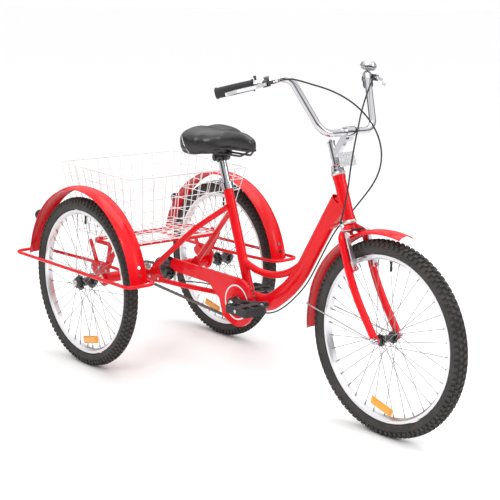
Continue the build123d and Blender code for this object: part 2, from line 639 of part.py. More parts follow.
# Rear axle, freewheel and band brake
DRUM_R = 40.0
BAND_R = DRUM_R + 0.8
rear_axle = turned(REAR_X, AXLE_Z, [(-368, 0), (-368, 7), (-365, 11), (-358, 11), (-358, AXLE_R), (-62, AXLE_R),
                                    (-62, 16), (-38, 16), (-38, AXLE_R), (358, AXLE_R), (358, 11), (365, 11),
                                    (368, 7), (368, 0)])
write(rear_axle, "rear_axle")
with BuildPart() as freewheel_sprocket:
    add(toothed_disc(REAR_X, AXLE_Z, SPROCKET_TEETH, SPROCKET_R, CHAIN_Y - TOOTH_HALF, CHAIN_Y + TOOTH_HALF, 0))
    add(rod((REAR_X, CHAIN_Y - 10, AXLE_Z), (REAR_X, CHAIN_Y + 8, AXLE_Z), 27))
    add(rod((REAR_X, CHAIN_Y - 20, AXLE_Z), (REAR_X, CHAIN_Y + 20, AXLE_Z), 16 + RUNNING_GAP),
        mode=Mode.SUBTRACT)
write(freewheel_sprocket.part, "freewheel_sprocket")
brake_drum = turned(REAR_X, AXLE_Z, [(12, AXLE_R), (44, AXLE_R), (44, 16), (20, 16), (20, 36), (40, 36),
                                     (40, DRUM_R), (14, DRUM_R), (14, 20), (12, 20)])
write(brake_drum, "brake_drum")
ARM_PIVOT = (REAR_X + 62, AXLE_Z + 26)
with BuildPart() as band:
    with BuildSketch(Plane(origin=(REAR_X, 17, AXLE_Z), x_dir=(1, 0, 0), z_dir=(0, -1, 0))):
        Circle(BAND_R + 2.5)
        Circle(BAND_R, mode=Mode.SUBTRACT)
        with Locations((50, 0)):
            Rectangle(60, 26, mode=Mode.SUBTRACT)
    extrude(amount=-20)
    for z in (-16, 16):
        add(link_plate([(REAR_X + 40, AXLE_Z + z, 2), (REAR_X + 52, AXLE_Z + z, 2)], 20, 34))
backing = link_plate([(REAR_X, AXLE_Z, 48), (ARM_PIVOT[0], ARM_PIVOT[1], 14)], 46, 49,
                     [(REAR_X, AXLE_Z, AXLE_R + 1.5)])
stay_arm = rod((ARM_PIVOT[0] - 14, 49, AXLE_Z - 6), (ARM_PIVOT[0] - 14, CARRIER_Y, AXLE_Z - 6), 5)
arm_pin = rod((ARM_PIVOT[0], 36, ARM_PIVOT[1]), (ARM_PIVOT[0], 46, ARM_PIVOT[1]), 4)
write(group([main_solid(band.part), backing, stay_arm, arm_pin]), "brake_band")
band_arm = link_plate([(ARM_PIVOT[0], ARM_PIVOT[1], 9), (ARM_PIVOT[0] - 6, ARM_PIVOT[1] - 62, 6)], 38, 43,
                      [(ARM_PIVOT[0], ARM_PIVOT[1], 4 + RUNNING_GAP), (ARM_PIVOT[0] - 6, ARM_PIVOT[1] - 62, 2.5)])
write(band_arm, "band_brake_arm")

# ---------------------------------------------------------------- wheels
def rim(x, y):
    """Box-section rim with a tyre well."""
    half = RIM_HALF_WIDTH
    return turned(x, AXLE_Z, [(y - half, RIM_R), (y - half, RIM_INNER_R + 6), (y - half + 6, RIM_INNER_R),
                              (y + half - 6, RIM_INNER_R), (y + half, RIM_INNER_R + 6), (y + half, RIM_R),
                              (y + half - 2, RIM_R), (y + half - 3, RIM_R - 5), (y - half + 3, RIM_R - 5),
                              (y - half + 2, RIM_R)])


def tyre(x, y):
    """Hollow tyre whose beads sit on the rim's edges."""
    centre_r = WHEEL_R - TYRE_SECTION_R
    with BuildPart() as carcass:
        with BuildSketch(Plane(origin=(x, 0, AXLE_Z), x_dir=(0, 1, 0), z_dir=(1, 0, 0))):
            with Locations((y, centre_r)):
                Circle(TYRE_SECTION_R)
                Circle(TYRE_SECTION_R - TYRE_WALL, mode=Mode.SUBTRACT)
            with Locations((y, RIM_R - 50 + 0.2)):
                Rectangle(100, 100, mode=Mode.SUBTRACT)
        revolve(axis=Axis((x, 0, AXLE_Z), (0, 1, 0)))
    return carcass.part


def spokes(x, y, flange_half, flange_r):
    """Spokes laced three-cross, each with its nipple, as separate straight solids."""
    pieces = []
    per_flange = SPOKE_COUNT // 2
    for index in range(SPOKE_COUNT):
        side = 1 if index % 2 else -1
        pair = (index // 2) % 2
        rim_angle = 2 * pi * index / SPOKE_COUNT
        lead = (1 if pair else -1) * 2 * pi * 3 / per_flange
        hub_angle = rim_angle + lead
        y_hub = y + side * (flange_half + (SPOKE_OFFSET if pair else -SPOKE_OFFSET))
        start = (x + flange_r * cos(hub_angle), y_hub, AXLE_Z + flange_r * sin(hub_angle))
        end_r = RIM_INNER_R - 0.3
        end = (x + end_r * cos(rim_angle), y + side * 2.0, AXLE_Z + end_r * sin(rim_angle))
        split = lerp(end, start, 11.0 / (Vector(*end) - Vector(*start)).length)
        pieces.append(rod(start, split, SPOKE_R))
        pieces.append(rod(split, end, 2.0))
    return pieces


def hub(x, y, flange_half, flange_r, bore, half_length, shell_r=13.0, cap_r=18.0):
    """Hub shell with two flanges."""
    f = flange_half
    t = 1.5
    return turned(x, AXLE_Z, [(y - half_length, bore), (y + half_length, bore), (y + half_length, cap_r - 4),
                              (y + half_length - 3, cap_r), (y + f + t, cap_r), (y + f + t, flange_r),
                              (y + f - t, flange_r), (y + f - t, shell_r), (y - f + t, shell_r),
                              (y - f + t, flange_r), (y - f - t, flange_r), (y - f - t, cap_r),
                              (y - half_length + 3, cap_r), (y - half_length, cap_r - 4)])


REAR_FLANGE_HALF = 24.0
REAR_FLANGE_R = 27.0
FRONT_FLANGE_HALF = 27.0
FRONT_FLANGE_R = 19.0
FRONT_AXLE_R = 4.9
for name, x, y, flange_half, flange_r, bore, half, shell, cap in (
        ("rear_right", REAR_X, -TRACK_HALF, REAR_FLANGE_HALF, REAR_FLANGE_R, AXLE_R, 42, 15, 19),
        ("rear_left", REAR_X, TRACK_HALF, REAR_FLANGE_HALF, REAR_FLANGE_R, AXLE_R + RUNNING_GAP, 42, 15, 19),
        ("front", FRONT_X, 0, FRONT_FLANGE_HALF, FRONT_FLANGE_R, FRONT_AXLE_R + RUNNING_GAP, 38, 11, 12)):
    write(hub(x, y, flange_half, flange_r, bore, half, shell, cap), f"{name}_hub")
    write(group(spokes(x, y, flange_half, flange_r - 3.5)), f"{name}_spokes")
    write(rim(x, y), f"{name}_rim")
    write(tyre(x, y), f"{name}_tyre")

# ---------------------------------------------------------------- fork and front axle
LEG_R = 12.0
LEG_Y = 52.0
FORK_RAKE = 41.0
AXLE_W = -377.3
BRAKE_PIVOT_Y = 44.0
BRAKE_PIVOT_W = -150.0
BRAKE_ARM_U = 21.0
BRAKE_ARM_THICK = 5.0
BRAKE_BOSS_R = 5.0
DROPOUT_IN = 44.0
DROPOUT_OUT = 50.0

with BuildPart() as fork:
    add(rod(steer(0, 0, -34), steer(0, 0, 176), STEERER_R))
    add(steer_turned([(0, -36), (15, -36), (18, -30), (18, -16), (20, -13), (20, -CUP_HEIGHT - 0.4),
                      (0, -CUP_HEIGHT - 0.4)]))
    for side in (-1, 1):
        leg = [steer(3, side * 14, -22), steer(3, side * LEG_Y, -44), steer(0, side * LEG_Y, -205),
               steer(FORK_RAKE - 1, side * LEG_Y, AXLE_W + 12)]
        add(bent_tube(leg, [30, 600], LEG_R))
        low, high = sorted((side * DROPOUT_IN, side * DROPOUT_OUT))
        leg_foot = steer(FORK_RAKE - 3, 0, AXLE_W + 22)
        add(link_plate([(FRONT_X, AXLE_Z, 11), (leg_foot[0], leg_foot[2], 9)], low, high))
        pivot = (side * BRAKE_PIVOT_Y, BRAKE_PIVOT_W)
        add(rod(steer(0, *pivot), steer(BRAKE_ARM_U - 0.4, *pivot), 8))
        add(rod(steer(0, *pivot), steer(BRAKE_ARM_U + BRAKE_ARM_THICK + 3, *pivot), BRAKE_BOSS_R))
        head_u = BRAKE_ARM_U + BRAKE_ARM_THICK + 0.4
        add(rod(steer(head_u, *pivot), steer(head_u + 4, *pivot), 7))
    add(rod(steer(-4, 0, -34), steer(-4, 0, -45.4), 6))
    add(rod((FRONT_X, -70, AXLE_Z), (FRONT_X, 70, AXLE_Z), FRONT_AXLE_R), mode=Mode.SUBTRACT)
    add(rod(steer(0, 0, 40), steer(0, 0, 177), STEERER_BORE_R), mode=Mode.SUBTRACT)
write(fork.part, "fork")

half_axle = [(38.5, FRONT_AXLE_R), (38.5, 8), (DROPOUT_IN, 8), (DROPOUT_IN, FRONT_AXLE_R),
             (DROPOUT_OUT, FRONT_AXLE_R), (DROPOUT_OUT, 11), (DROPOUT_OUT + 2, 11), (DROPOUT_OUT + 2, 9),
             (DROPOUT_OUT + 10, 9), (DROPOUT_OUT + 10, FRONT_AXLE_R), (DROPOUT_OUT + 18, FRONT_AXLE_R),
             (DROPOUT_OUT + 18, 0)]
front_axle = turned(FRONT_X, AXLE_Z, [(-y, radius) for y, radius in reversed(half_axle)] + half_axle)
write(front_axle, "front_axle")

FRONT_GUARD_R = 334.0
FRONT_GUARD_HALF = 30.0
stay_foot_angle = radians(171)
stay_foot = (FRONT_X + 327 * cos(stay_foot_angle), AXLE_Z + 327 * sin(stay_foot_angle))
guard_stays = [rod((stay_foot[0], side * 34, stay_foot[1]), (FRONT_X - 22, side * 52, AXLE_Z + 3), 2.2)
               for side in (-1, 1)]
front_guard = mudguard(FRONT_X, 0, FRONT_GUARD_R, FRONT_GUARD_HALF, 78.7, 107.3)
write(group([front_guard] + guard_stays), "front_mudguard")

# ---------------------------------------------------------------- stem, headset nuts, handlebar
bar_x, _, bar_z = steer(BAR_CENTRE[0], 0, BAR_CENTRE[1])
neck = steer(0, 0, 203)
with BuildPart() as stem:
    add(rod(steer(0, 0, 55), steer(0, 0, 249), STEERER_BORE_R))
    add(rod(steer(0, 0, 244), steer(0, 0, 251), STEERER_BORE_R + 1.5))
    add(rod(steer(0, 0, 251), steer(0, 0, 257), 5))
    neck_end = steer(72, 0, 249)
    add(link_plate([(neck[0], neck[2], 10), (neck_end[0], neck_end[2], 12)], -8, 8))
    add(rod((bar_x, -20, bar_z), (bar_x, 20, bar_z), BAR_BULGE_R + 4.5))
    lug = steer(78, 0, 238)
    add(link_plate([(bar_x, bar_z, 10), (lug[0], lug[2], 8)], -11, 11))
    add(rod((lug[0], -16, lug[2]), (lug[0], 16, lug[2]), 4.5))
    add(rod((bar_x, -21, bar_z), (bar_x, 21, bar_z), BAR_BULGE_R), mode=Mode.SUBTRACT)
    fillet(stem.edges().filter_by(GeomType.CIRCLE).group_by(Axis.Y)[-1], 0.5)
HEADSET_LOW = HEAD_LENGTH + CUP_HEIGHT + 0.4
headset_nuts = []
for w_low, w_high, outer in ((HEADSET_LOW, 164, 20.5), (166, 174, 18.5)):
    headset_nuts.append(steer_turned([(STEERER_R, w_low), (outer - 1, w_low), (outer, w_low + 1),
                                      (outer, w_high - 1), (outer - 1, w_high), (STEERER_R, w_high)]))

bar_low = (85, 108, 257)
bar_high = (60, 164, 446)
bar_end = (-96, 323, 449)
bar_points = [steer(bar_end[0], -bar_end[1], bar_end[2]), steer(bar_high[0], -bar_high[1], bar_high[2]),
              steer(bar_low[0], -bar_low[1], bar_low[2]), steer(*bar_low), steer(*bar_high), steer(*bar_end)]
with BuildPart() as handlebar:
    add(bent_tube(bar_points, [42, 50, 50, 42], BAR_R))
    add(turned(bar_x, bar_z, [(-38, 0), (-38, BAR_R), (-33, BAR_BULGE_R), (33, BAR_BULGE_R), (38, BAR_R),
                              (38, 0)]))
    add(bent_tube(bar_points, [42, 50, 50, 42], BAR_R - TUBE_WALL), mode=Mode.SUBTRACT)
write(handlebar.part, "handlebar")

# Everything on the left half of the bar is placed along its straight end run and then mirrored.
run_start = Vector(*steer(*bar_high))
along = (Vector(*steer(*bar_end)) - run_start).normalized()
ahead = (along.cross(Vector(0, 0, 1)).normalized() + Vector(0, 0, -0.12)).normalized()
above = along.cross(ahead).normalized() * -1
ahead = above.cross(along).normalized() * -1
LEVER_AT = 68.0
BELL_AT = 40.0
GRIP_FROM = 108.0
RUN_LENGTH = (Vector(*steer(*bar_end)) - run_start).length


def on_bar(distance, out=0.0, up=0.0):
    """Point beside the bar's end run: along it, ahead of it and above it."""
    p = run_start + along * distance + ahead * out + above * up
    return (p.X, p.Y, p.Z)


with BuildPart() as grip:
    add(rod(on_bar(GRIP_FROM), on_bar(RUN_LENGTH + 4), GRIP_R))
    add(rod(on_bar(GRIP_FROM), on_bar(GRIP_FROM + 5), GRIP_R + 2.5))
    add(rod(on_bar(RUN_LENGTH), on_bar(RUN_LENGTH + 4), GRIP_R + 1))
    add(rod(on_bar(GRIP_FROM - 1), on_bar(RUN_LENGTH), BAR_R), mode=Mode.SUBTRACT)
write(group([grip.part, mirrored(grip.part)]), "grips")

lever_plane = Plane(origin=on_bar(LEVER_AT, 0, -5), x_dir=along, z_dir=above)
side_sign = 1 if (lever_plane.y_dir.dot(ahead)) > 0 else -1
PIVOT = (7.0, 29.0)
PIN_R = 2.4


def lever_shape(circles, low, high, holes=()):
    """Plate in the lever's plane between two heights; circles are (along, ahead, radius)."""
    plane = Plane(origin=on_bar(LEVER_AT, 0, low), x_dir=along, z_dir=above)
    placed = [(a, side_sign * b, radius) for a, b, radius in circles]
    cut = [(a, side_sign * b, radius) for a, b, radius in holes]
    return hull_plate(plane, placed, high - low, cut)


with BuildPart() as lever_body:
    add(rod(on_bar(LEVER_AT - 8), on_bar(LEVER_AT + 8), BAR_R + 4.5))
    add(lever_shape([(0, 8, 7), PIVOT + (7,)], -9, 9))
    add(lever_shape([(0, 24, 6), (-22, 27, 5)], -5, 5))
    add(rod(on_bar(LEVER_AT - 20, 27), on_bar(LEVER_AT - 36, 27), 4))
    add(rod(on_bar(LEVER_AT - 9), on_bar(LEVER_AT + 9), BAR_R), mode=Mode.SUBTRACT)
    add(lever_shape([PIVOT + (9.5,), (30, 44, 12), (22, 24, 6)], -5.4, 5.4), mode=Mode.SUBTRACT)
    add(rod(on_bar(LEVER_AT + PIVOT[0], PIVOT[1], -9), on_bar(LEVER_AT + PIVOT[0], PIVOT[1], 9), PIN_R))
write(group([lever_body.part, mirrored(lever_body.part)]), "lever_bodies")

with BuildPart() as lever_blade:
    add(lever_shape([PIVOT + (6,), (34, 45, 4.5)], -5, 5))
    add(lever_shape([(34, 45, 4.5), (92, 42, 3.5)], -5, 5))
    add(lever_shape([(92, 42, 3.5), (122, 54, 4.5)], -5, 5))
    add(rod(on_bar(LEVER_AT + PIVOT[0], PIVOT[1], -7), on_bar(LEVER_AT + PIVOT[0], PIVOT[1], 7),
            PIN_R + RUNNING_GAP), mode=Mode.SUBTRACT)
write(lever_blade.part, "brake_lever_left")
write(mirrored(lever_blade.part), "brake_lever_right")

# Bell: clamp and base, dome and thumb lever
BELL_BASE_H = 18.0


def bell_turned(profile):
    """Solid of revolution about the bell's post; the profile is (radius, height) pairs."""
    with BuildPart() as turning:
        with BuildSketch(Plane(origin=on_bar(BELL_AT), x_dir=along, z_dir=above.cross(along) * -1)):
            with BuildLine():
                Polyline(*profile, close=True)
            make_face()
        revolve(axis=Axis(on_bar(BELL_AT), above))
    return turning.part


with BuildPart() as bell_base:
    add(rod(on_bar(BELL_AT - 5), on_bar(BELL_AT + 5), BAR_R + 2.5))
    add(bell_turned([(0, 8), (7, 8), (7, BELL_BASE_H), (23, BELL_BASE_H), (23, BELL_BASE_H + 4),
                     (3, BELL_BASE_H + 4), (3, BELL_BASE_H + 8), (0, BELL_BASE_H + 8)]))
    add(rod(on_bar(BELL_AT - 8.4), on_bar(BELL_AT + 8), BAR_R), mode=Mode.SUBTRACT)
bell_dome = bell_turned([(0, 46), (8, 45.2), (15, 42.6), (21, 38.4), (25.4, 32.6), (27, 26), (25.6, 26),
                         (24, 32), (20, 37.2), (14.4, 41.2), (7.6, 43.6), (0, 44.4)])
dome_post = bell_turned([(0, BELL_BASE_H + 8), (2.6, BELL_BASE_H + 8), (2.6, 44), (0, 44)])
write(group([bell_base.part, bell_dome, dome_post]), "bell")
bell_pivot = on_bar(BELL_AT, 0, BELL_BASE_H + 4.3)
bell_plane = Plane(origin=bell_pivot, x_dir=along, z_dir=above)
bell_lever = hull_plate(bell_plane, [(0, 0, 7), (-34, side_sign * -8, 5)], 2.4, [(0, 0, 3 + RUNNING_GAP)])
write(bell_lever, "bell_lever")

# Front reflector on a strip clamped under the headset's top nut
with BuildPart() as reflector_bracket:
    add(steer_turned([(STEERER_R, 164), (18, 164), (18, 166), (STEERER_R, 166)]))
    with BuildSketch(Plane(origin=steer(31, 0, 164), x_dir=(0, 1, 0), z_dir=steer_axis)):
        Rectangle(12, 32)
    extrude(amount=2)
    with BuildSketch(Plane(origin=steer(45, 0, 177), x_dir=(0, 1, 0), z_dir=steer_fore)):
        Rectangle(12, 26)
    extrude(amount=2)
lens = steer_plate([(-25, 164, 6), (25, 164, 6), (-25, 197, 6), (25, 197, 6)], 47, 56)
write(group([stem.part, reflector_bracket.part] + headset_nuts), "stem")
write(lens, "front_reflector")

# ---------------------------------------------------------------- front brake arms
PAD_W = -128.0
CABLE_BOLT = (47.0, -42.0)
arm_pivot = (BRAKE_PIVOT_Y, BRAKE_PIVOT_W)
arm_middle_u = BRAKE_ARM_U + BRAKE_ARM_THICK / 2
with BuildPart() as brake_arm:
    add(steer_plate([arm_pivot + (8,), CABLE_BOLT + (6,)], BRAKE_ARM_U, BRAKE_ARM_U + BRAKE_ARM_THICK,
                    [arm_pivot + (BRAKE_BOSS_R + RUNNING_GAP,)]))
    add(rod(steer(arm_middle_u, 27, PAD_W), steer(arm_middle_u, 52, PAD_W), 4))
    add(rod(steer(BRAKE_ARM_U + 1, 42, PAD_W), steer(BRAKE_ARM_U + 6.5, 42, PAD_W), 7))
    add(rod(steer(BRAKE_ARM_U + 1, *CABLE_BOLT), steer(BRAKE_ARM_U + 7, *CABLE_BOLT), 4.5))
with BuildPart() as brake_pad:
    with BuildSketch(Plane(origin=steer(arm_middle_u, 16.6, PAD_W), x_dir=steer_fore, z_dir=(0, 1, 0))):
        RectangleRounded(50, 10, 4)
    extrude(amount=10.4)
write(group([brake_arm.part, brake_pad.part]), "front_brake_arm_left")
write(group([mirrored(brake_arm.part), mirrored(brake_pad.part)]), "front_brake_arm_right")

# ---------------------------------------------------------------- seat
seat_clamp_low = seat_length - 24
COLLAR_R = 21.0
with BuildPart() as seat_clamp:
    add(rod(on_seat_axis(seat_clamp_low), on_seat_axis(seat_length), COLLAR_R))
    ear_x, _, ear_z = on_seat_axis(seat_length - 12)
    for side in (-1, 1):
        low, high = sorted((side * 2, side * 8))
        add(link_plate([(ear_x, ear_z, 9), (ear_x - 26, ear_z + 9, 9)], low, high))
    add(seat_tube_core, mode=Mode.SUBTRACT)
    add(rod(on_seat_axis(seat_clamp_low - 40), on_seat_axis(seat_length + 40), SEAT_TUBE_R),
        mode=Mode.SUBTRACT)
    add(rod((ear_x - 27, -14, ear_z + 9), (ear_x - 27, 11.5, ear_z + 9), 3.5))
    add(rod((ear_x - 27, -14, ear_z + 9), (ear_x - 27, -8, ear_z + 9), 6.5))
write(seat_clamp.part, "seat_clamp")
qr_x, qr_z = ear_x - 27, ear_z + 9
with BuildPart() as seat_lever:
    lever_face = Plane(origin=(qr_x, 18, qr_z - 4), x_dir=(1, 0, 0), z_dir=(0, 0, 1))
    add(hull_plate(lever_face, [(0, 0, 6), (-18, 2, 4)], 8))
    add(hull_plate(lever_face, [(-18, 2, 4), (-50, 10, 4)], 8))
write(seat_lever.part, "seat_clamp_lever")

SADDLE_BASE_Z = 806.0
SADDLE_TOP_Z = 877.0
saddle_half = [(10, 0), (4, 19), (-45, 27), (-105, 42), (-160, 92), (-205, 126), (-248, 124), (-270, 86),
               (-268, 36), (-262, 0)]
saddle_outline = saddle_half + [(x, -y) for x, y in reversed(saddle_half[1:-1])]


def saddle_slab(z, height, size):
    """Slab with the saddle's outline, shrunk about its middle."""
    middle = -130
    points = [(middle + (x - middle) * size, y * size) for x, y in saddle_outline]
    with BuildPart() as slab:
        with BuildSketch(Plane.XY.offset(z)):
            with BuildLine():
                Spline(*points, periodic=True)
            make_face()
        extrude(amount=height)
    return slab.part


SKIRT_Z = 780.0
SKIRT_FRONT_X = -115.0
skirt_height = SADDLE_BASE_Z + 6 - SKIRT_Z
with BuildPart() as saddle_cushion:
    add(saddle_slab(SKIRT_Z, skirt_height, 1.0))
    add(saddle_slab(SKIRT_Z, skirt_height, 0.955), mode=Mode.SUBTRACT)
    with Locations((SKIRT_FRONT_X, 0, SKIRT_Z)):
        Box(200, 300, skirt_height, align=(Align.MIN, Align.CENTER, Align.MIN), mode=Mode.SUBTRACT)
    add(saddle_slab(SADDLE_BASE_Z + 6, SADDLE_TOP_Z - SADDLE_BASE_Z - 24, 1.0))
    add(saddle_slab(SADDLE_TOP_Z - 18, 11, 0.95))
    add(saddle_slab(SADDLE_TOP_Z - 7, 7, 0.86))
write(saddle_cushion.part, "saddle_cushion")

SEATPOST_TOP = 500.0
RAIL_Z = 788.0
RAIL_Y = 22.0
RAIL_R = 3.5
clamp_x, _, clamp_z = on_seat_axis(SEATPOST_TOP)
write(rod(on_seat_axis(270), on_seat_axis(SEATPOST_TOP - 16), SEATPOST_R - RUNNING_GAP), "seatpost")
rails = [bent_tube([(-8, side * 10, SADDLE_BASE_Z), (-38, side * RAIL_Y, RAIL_Z), (-218, side * RAIL_Y, RAIL_Z),
                    (-246, side * 48, SADDLE_BASE_Z)], [22, 22], RAIL_R) for side in (-1, 1)]
with BuildPart() as saddle_clamp:
    add(rod(on_seat_axis(SEATPOST_TOP - 16), on_seat_axis(SEATPOST_TOP), 18))
    add(rod((clamp_x, -30, clamp_z), (clamp_x, 30, clamp_z), 13))
    for side in (-1, 1):
        add(rod((clamp_x - 24, side * RAIL_Y, RAIL_Z), (clamp_x + 24, side * RAIL_Y, RAIL_Z), 8))
        low, high = sorted((side * 14, side * 30))
        add(link_plate([(clamp_x, clamp_z, 12), (clamp_x, RAIL_Z, 10)], low, high))
    for side in (-1, 1):
        add(rod((clamp_x - 60, side * RAIL_Y, RAIL_Z), (clamp_x + 60, side * RAIL_Y, RAIL_Z), RAIL_R),
            mode=Mode.SUBTRACT)
        add(rod((clamp_x, side * 30, clamp_z), (clamp_x, side * 34, clamp_z), 8))
bumpers = [rod((-206, side * 56, SADDLE_BASE_Z - 22), (-206, side * 56, SADDLE_BASE_Z), 13) for side in (-1, 1)]
write(group([saddle_slab(SADDLE_BASE_Z, 5.7, 0.95), saddle_clamp.part] + rails + bumpers), "saddle_frame")

# ---------------------------------------------------------------- rear reflectors
REFLECTOR_R = 19.0
POST_R = 5.0
reflector_z = AXLE_Z + MUDGUARD_R * sin(radians(145))


def skin_x(z):
    """X of the rear mudguard's outside at a height, behind the axle."""
    return REAR_X - sqrt(MUDGUARD_R ** 2 - (z - AXLE_Z) ** 2)


reflectors = []
for side in (-1, 1):
    y = side * TRACK_HALF
    face_x = skin_x(reflector_z - REFLECTOR_R) - 2
    with BuildPart() as rear_reflector:
        add(rod((face_x, y, reflector_z), (face_x - 15, y, reflector_z), REFLECTOR_R))
        add(rod((skin_x(reflector_z - POST_R) - 0.2, y, reflector_z), (face_x - 5, y, reflector_z), POST_R))
    reflectors.append(rear_reflector.part)
write(group(reflectors), "rear_reflectors")

# ---------------------------------------------------------------- cables
def cord_radii(points):
    """Bend radius at each inner point: 0.45 of the shorter run over the tangent of half the turn."""
    radii = []
    for before, here, after in zip(points, points[1:], points[2:]):
        run_in = Vector(*here) - Vector(*before)
        run_out = Vector(*after) - Vector(*here)
        turn = radians(run_in.get_angle(run_out))
        radii.append(0.45 * min(run_in.length, run_out.length) / tan(turn / 2))
    return radii


def cable(points, label):
    """Brake cable housing along a route; prints its bends, length and volume check."""
    radii = cord_radii(points)
    tube = bent_tube(points, radii, CABLE_R)
    with BuildLine() as route:
        FilletPolyline(*points, radius=radii)
    length = route.wire().length
    ratio = tube.volume / (pi * CABLE_R ** 2 * length)
    print(label, "length", round(length), "volume ratio", round(ratio, 4), "radii", [round(r) for r in radii])
    return tube


noodle_top = steer(26, -66, -10)
front_cable_route = [
    (355.3, 204.3, 1070.7), (376, 182, 1077), (392, 159, 1071), (402, 134, 1049), (411, 110, 1021),
    (424, 82, 989), (446, 48, 958), (468, 16, 921), (471, 2, 882), (470, -5, 842), (471, -14, 801),
    (477, -26, 759), (485, -42, 719), (490, -58, 680), (486.4, -66, 642.9)]
rear_loop_route = [
    (355.3, -204.3, 1070.7), (377, -181, 1077), (394, -158, 1071), (414, -130, 1061), (440, -97, 1049),
    (464, -60, 1031), (484, -20, 1004), (496, 18, 970), (504, 50, 931), (507, 74, 887), (502, 90, 840),
    (488, 97, 792), (466, 92, 746), (442, 76, 705), (426, 53, 669), (413, 26, 634), (396, 2, 602),
    (371, 0, 560)]
rear_cable_route = [
    (371, 0, 560), (346, -2, 518), (316, 0, 470), (276, 2, 410), (238, 1, 368), (196, 0, 329), (140, 2, 289),
    (90, 4, 268), (40, 8, 262), (-10, 16, 262), (-62, 30, 270), (-120, 46, 280), (-190, 56, 286),
    (-262, 60, 287), (-334, 58, 284), (-400, 52, 277), (-446, 47.5, 270), (-479, 46.5, 268)]
noodle = bent_tube([noodle_top, steer(26, -66, -33), steer(26, -38, -33)], [20], 2.8)
boot = rod(steer(26, -38, -33), steer(26, 28, -33), 4)
inner_wire = rod(steer(26, 28, -33), steer(26, 48, -33), 0.8)
write(group([cable(front_cable_route, "front brake cable"), noodle, boot, inner_wire]), "front_brake_cable")
write(cable(rear_loop_route, "rear brake cable loop"), "rear_brake_cable_loop")
write(cable(rear_cable_route, "rear brake cable"), "rear_brake_cable")
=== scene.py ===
import json
from math import cos, exp, hypot, pi, radians, sin, sqrt
import bmesh
import bpy
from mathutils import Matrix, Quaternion, Vector


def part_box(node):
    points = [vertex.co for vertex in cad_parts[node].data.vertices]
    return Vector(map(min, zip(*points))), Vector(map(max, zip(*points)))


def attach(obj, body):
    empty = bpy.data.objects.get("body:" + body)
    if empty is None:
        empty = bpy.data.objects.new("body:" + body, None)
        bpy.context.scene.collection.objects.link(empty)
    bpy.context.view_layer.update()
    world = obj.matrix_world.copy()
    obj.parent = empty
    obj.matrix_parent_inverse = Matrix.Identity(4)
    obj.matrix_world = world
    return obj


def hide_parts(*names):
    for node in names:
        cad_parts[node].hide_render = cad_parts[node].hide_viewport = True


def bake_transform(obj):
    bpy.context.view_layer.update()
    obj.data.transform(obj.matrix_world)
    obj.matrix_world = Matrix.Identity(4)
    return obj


# Looks of the adult tricycle, in metres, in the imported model's frame: +X forward, +Y to the rider's left.
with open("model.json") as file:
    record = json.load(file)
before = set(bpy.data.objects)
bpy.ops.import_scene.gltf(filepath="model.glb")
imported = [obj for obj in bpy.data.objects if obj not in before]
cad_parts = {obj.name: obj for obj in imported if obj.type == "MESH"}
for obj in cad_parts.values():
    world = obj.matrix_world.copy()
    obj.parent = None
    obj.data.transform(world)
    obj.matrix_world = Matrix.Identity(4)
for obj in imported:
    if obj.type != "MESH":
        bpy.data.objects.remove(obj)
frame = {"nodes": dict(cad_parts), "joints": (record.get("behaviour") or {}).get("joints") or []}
nodes = frame["nodes"]
joints = {joint["name"]: joint for joint in frame["joints"]}
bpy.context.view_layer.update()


# ---------------------------------------------------------------- camera
CAMERA_PLACE = Vector((2.9955, -2.563, 1.324))
CAMERA_FORWARD = Vector((-0.7437, 0.6343, -0.2113))
CAMERA_ROLL = radians(0.54)
CAMERA_LENS = 85.8


def make_camera():
    """Camera at the reference view."""
    camera = bpy.data.objects.new("camera", bpy.data.cameras.new("camera"))
    bpy.context.scene.collection.objects.link(camera)
    camera.data.lens = CAMERA_LENS
    camera.data.sensor_width = 36.0
    camera.data.clip_end = 100.0
    camera.rotation_mode = "QUATERNION"
    camera.location = CAMERA_PLACE
    roll = Quaternion((0, 0, 1), CAMERA_ROLL)
    camera.rotation_quaternion = CAMERA_FORWARD.to_track_quat("-Z", "Y") @ roll
    bpy.context.scene.camera = camera


make_camera()


# ---------------------------------------------------------------- mesh helpers
def link(obj):
    """Put an object in the scene."""
    bpy.context.scene.collection.objects.link(obj)
    return obj


def place(obj, body, material, replaces=()):
    """Give a piece its material, the body it moves with and the CAD nodes it stands for."""
    obj.data.materials.clear()
    obj.data.materials.append(material)
    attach(obj, body)
    if replaces:
        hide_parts(*replaces)
    return obj


def from_bmesh(name, shape, smooth=True):
    """Object from a finished bmesh, with outward normals."""
    bmesh.ops.recalc_face_normals(shape, faces=shape.faces)
    mesh = bpy.data.meshes.new(name)
    shape.to_mesh(mesh)
    shape.free()
    mesh.polygons.foreach_set("use_smooth", [smooth] * len(mesh.polygons))
    return link(bpy.data.objects.new(name, mesh))


def sharpen(obj, angle=35.0):
    """Smooth shading that keeps edges sharper than an angle."""
    mesh = obj.data
    shape = bmesh.new()
    shape.from_mesh(mesh)
    limit = radians(angle)
    for edge in shape.edges:
        edge.smooth = len(edge.link_faces) != 2 or edge.calc_face_angle(0.0) < limit
    shape.to_mesh(mesh)
    shape.free()
    return obj


def axes_of(direction):
    """Two unit vectors square to a direction."""
    side = direction.orthogonal().normalized()
    return side, direction.cross(side).normalized()


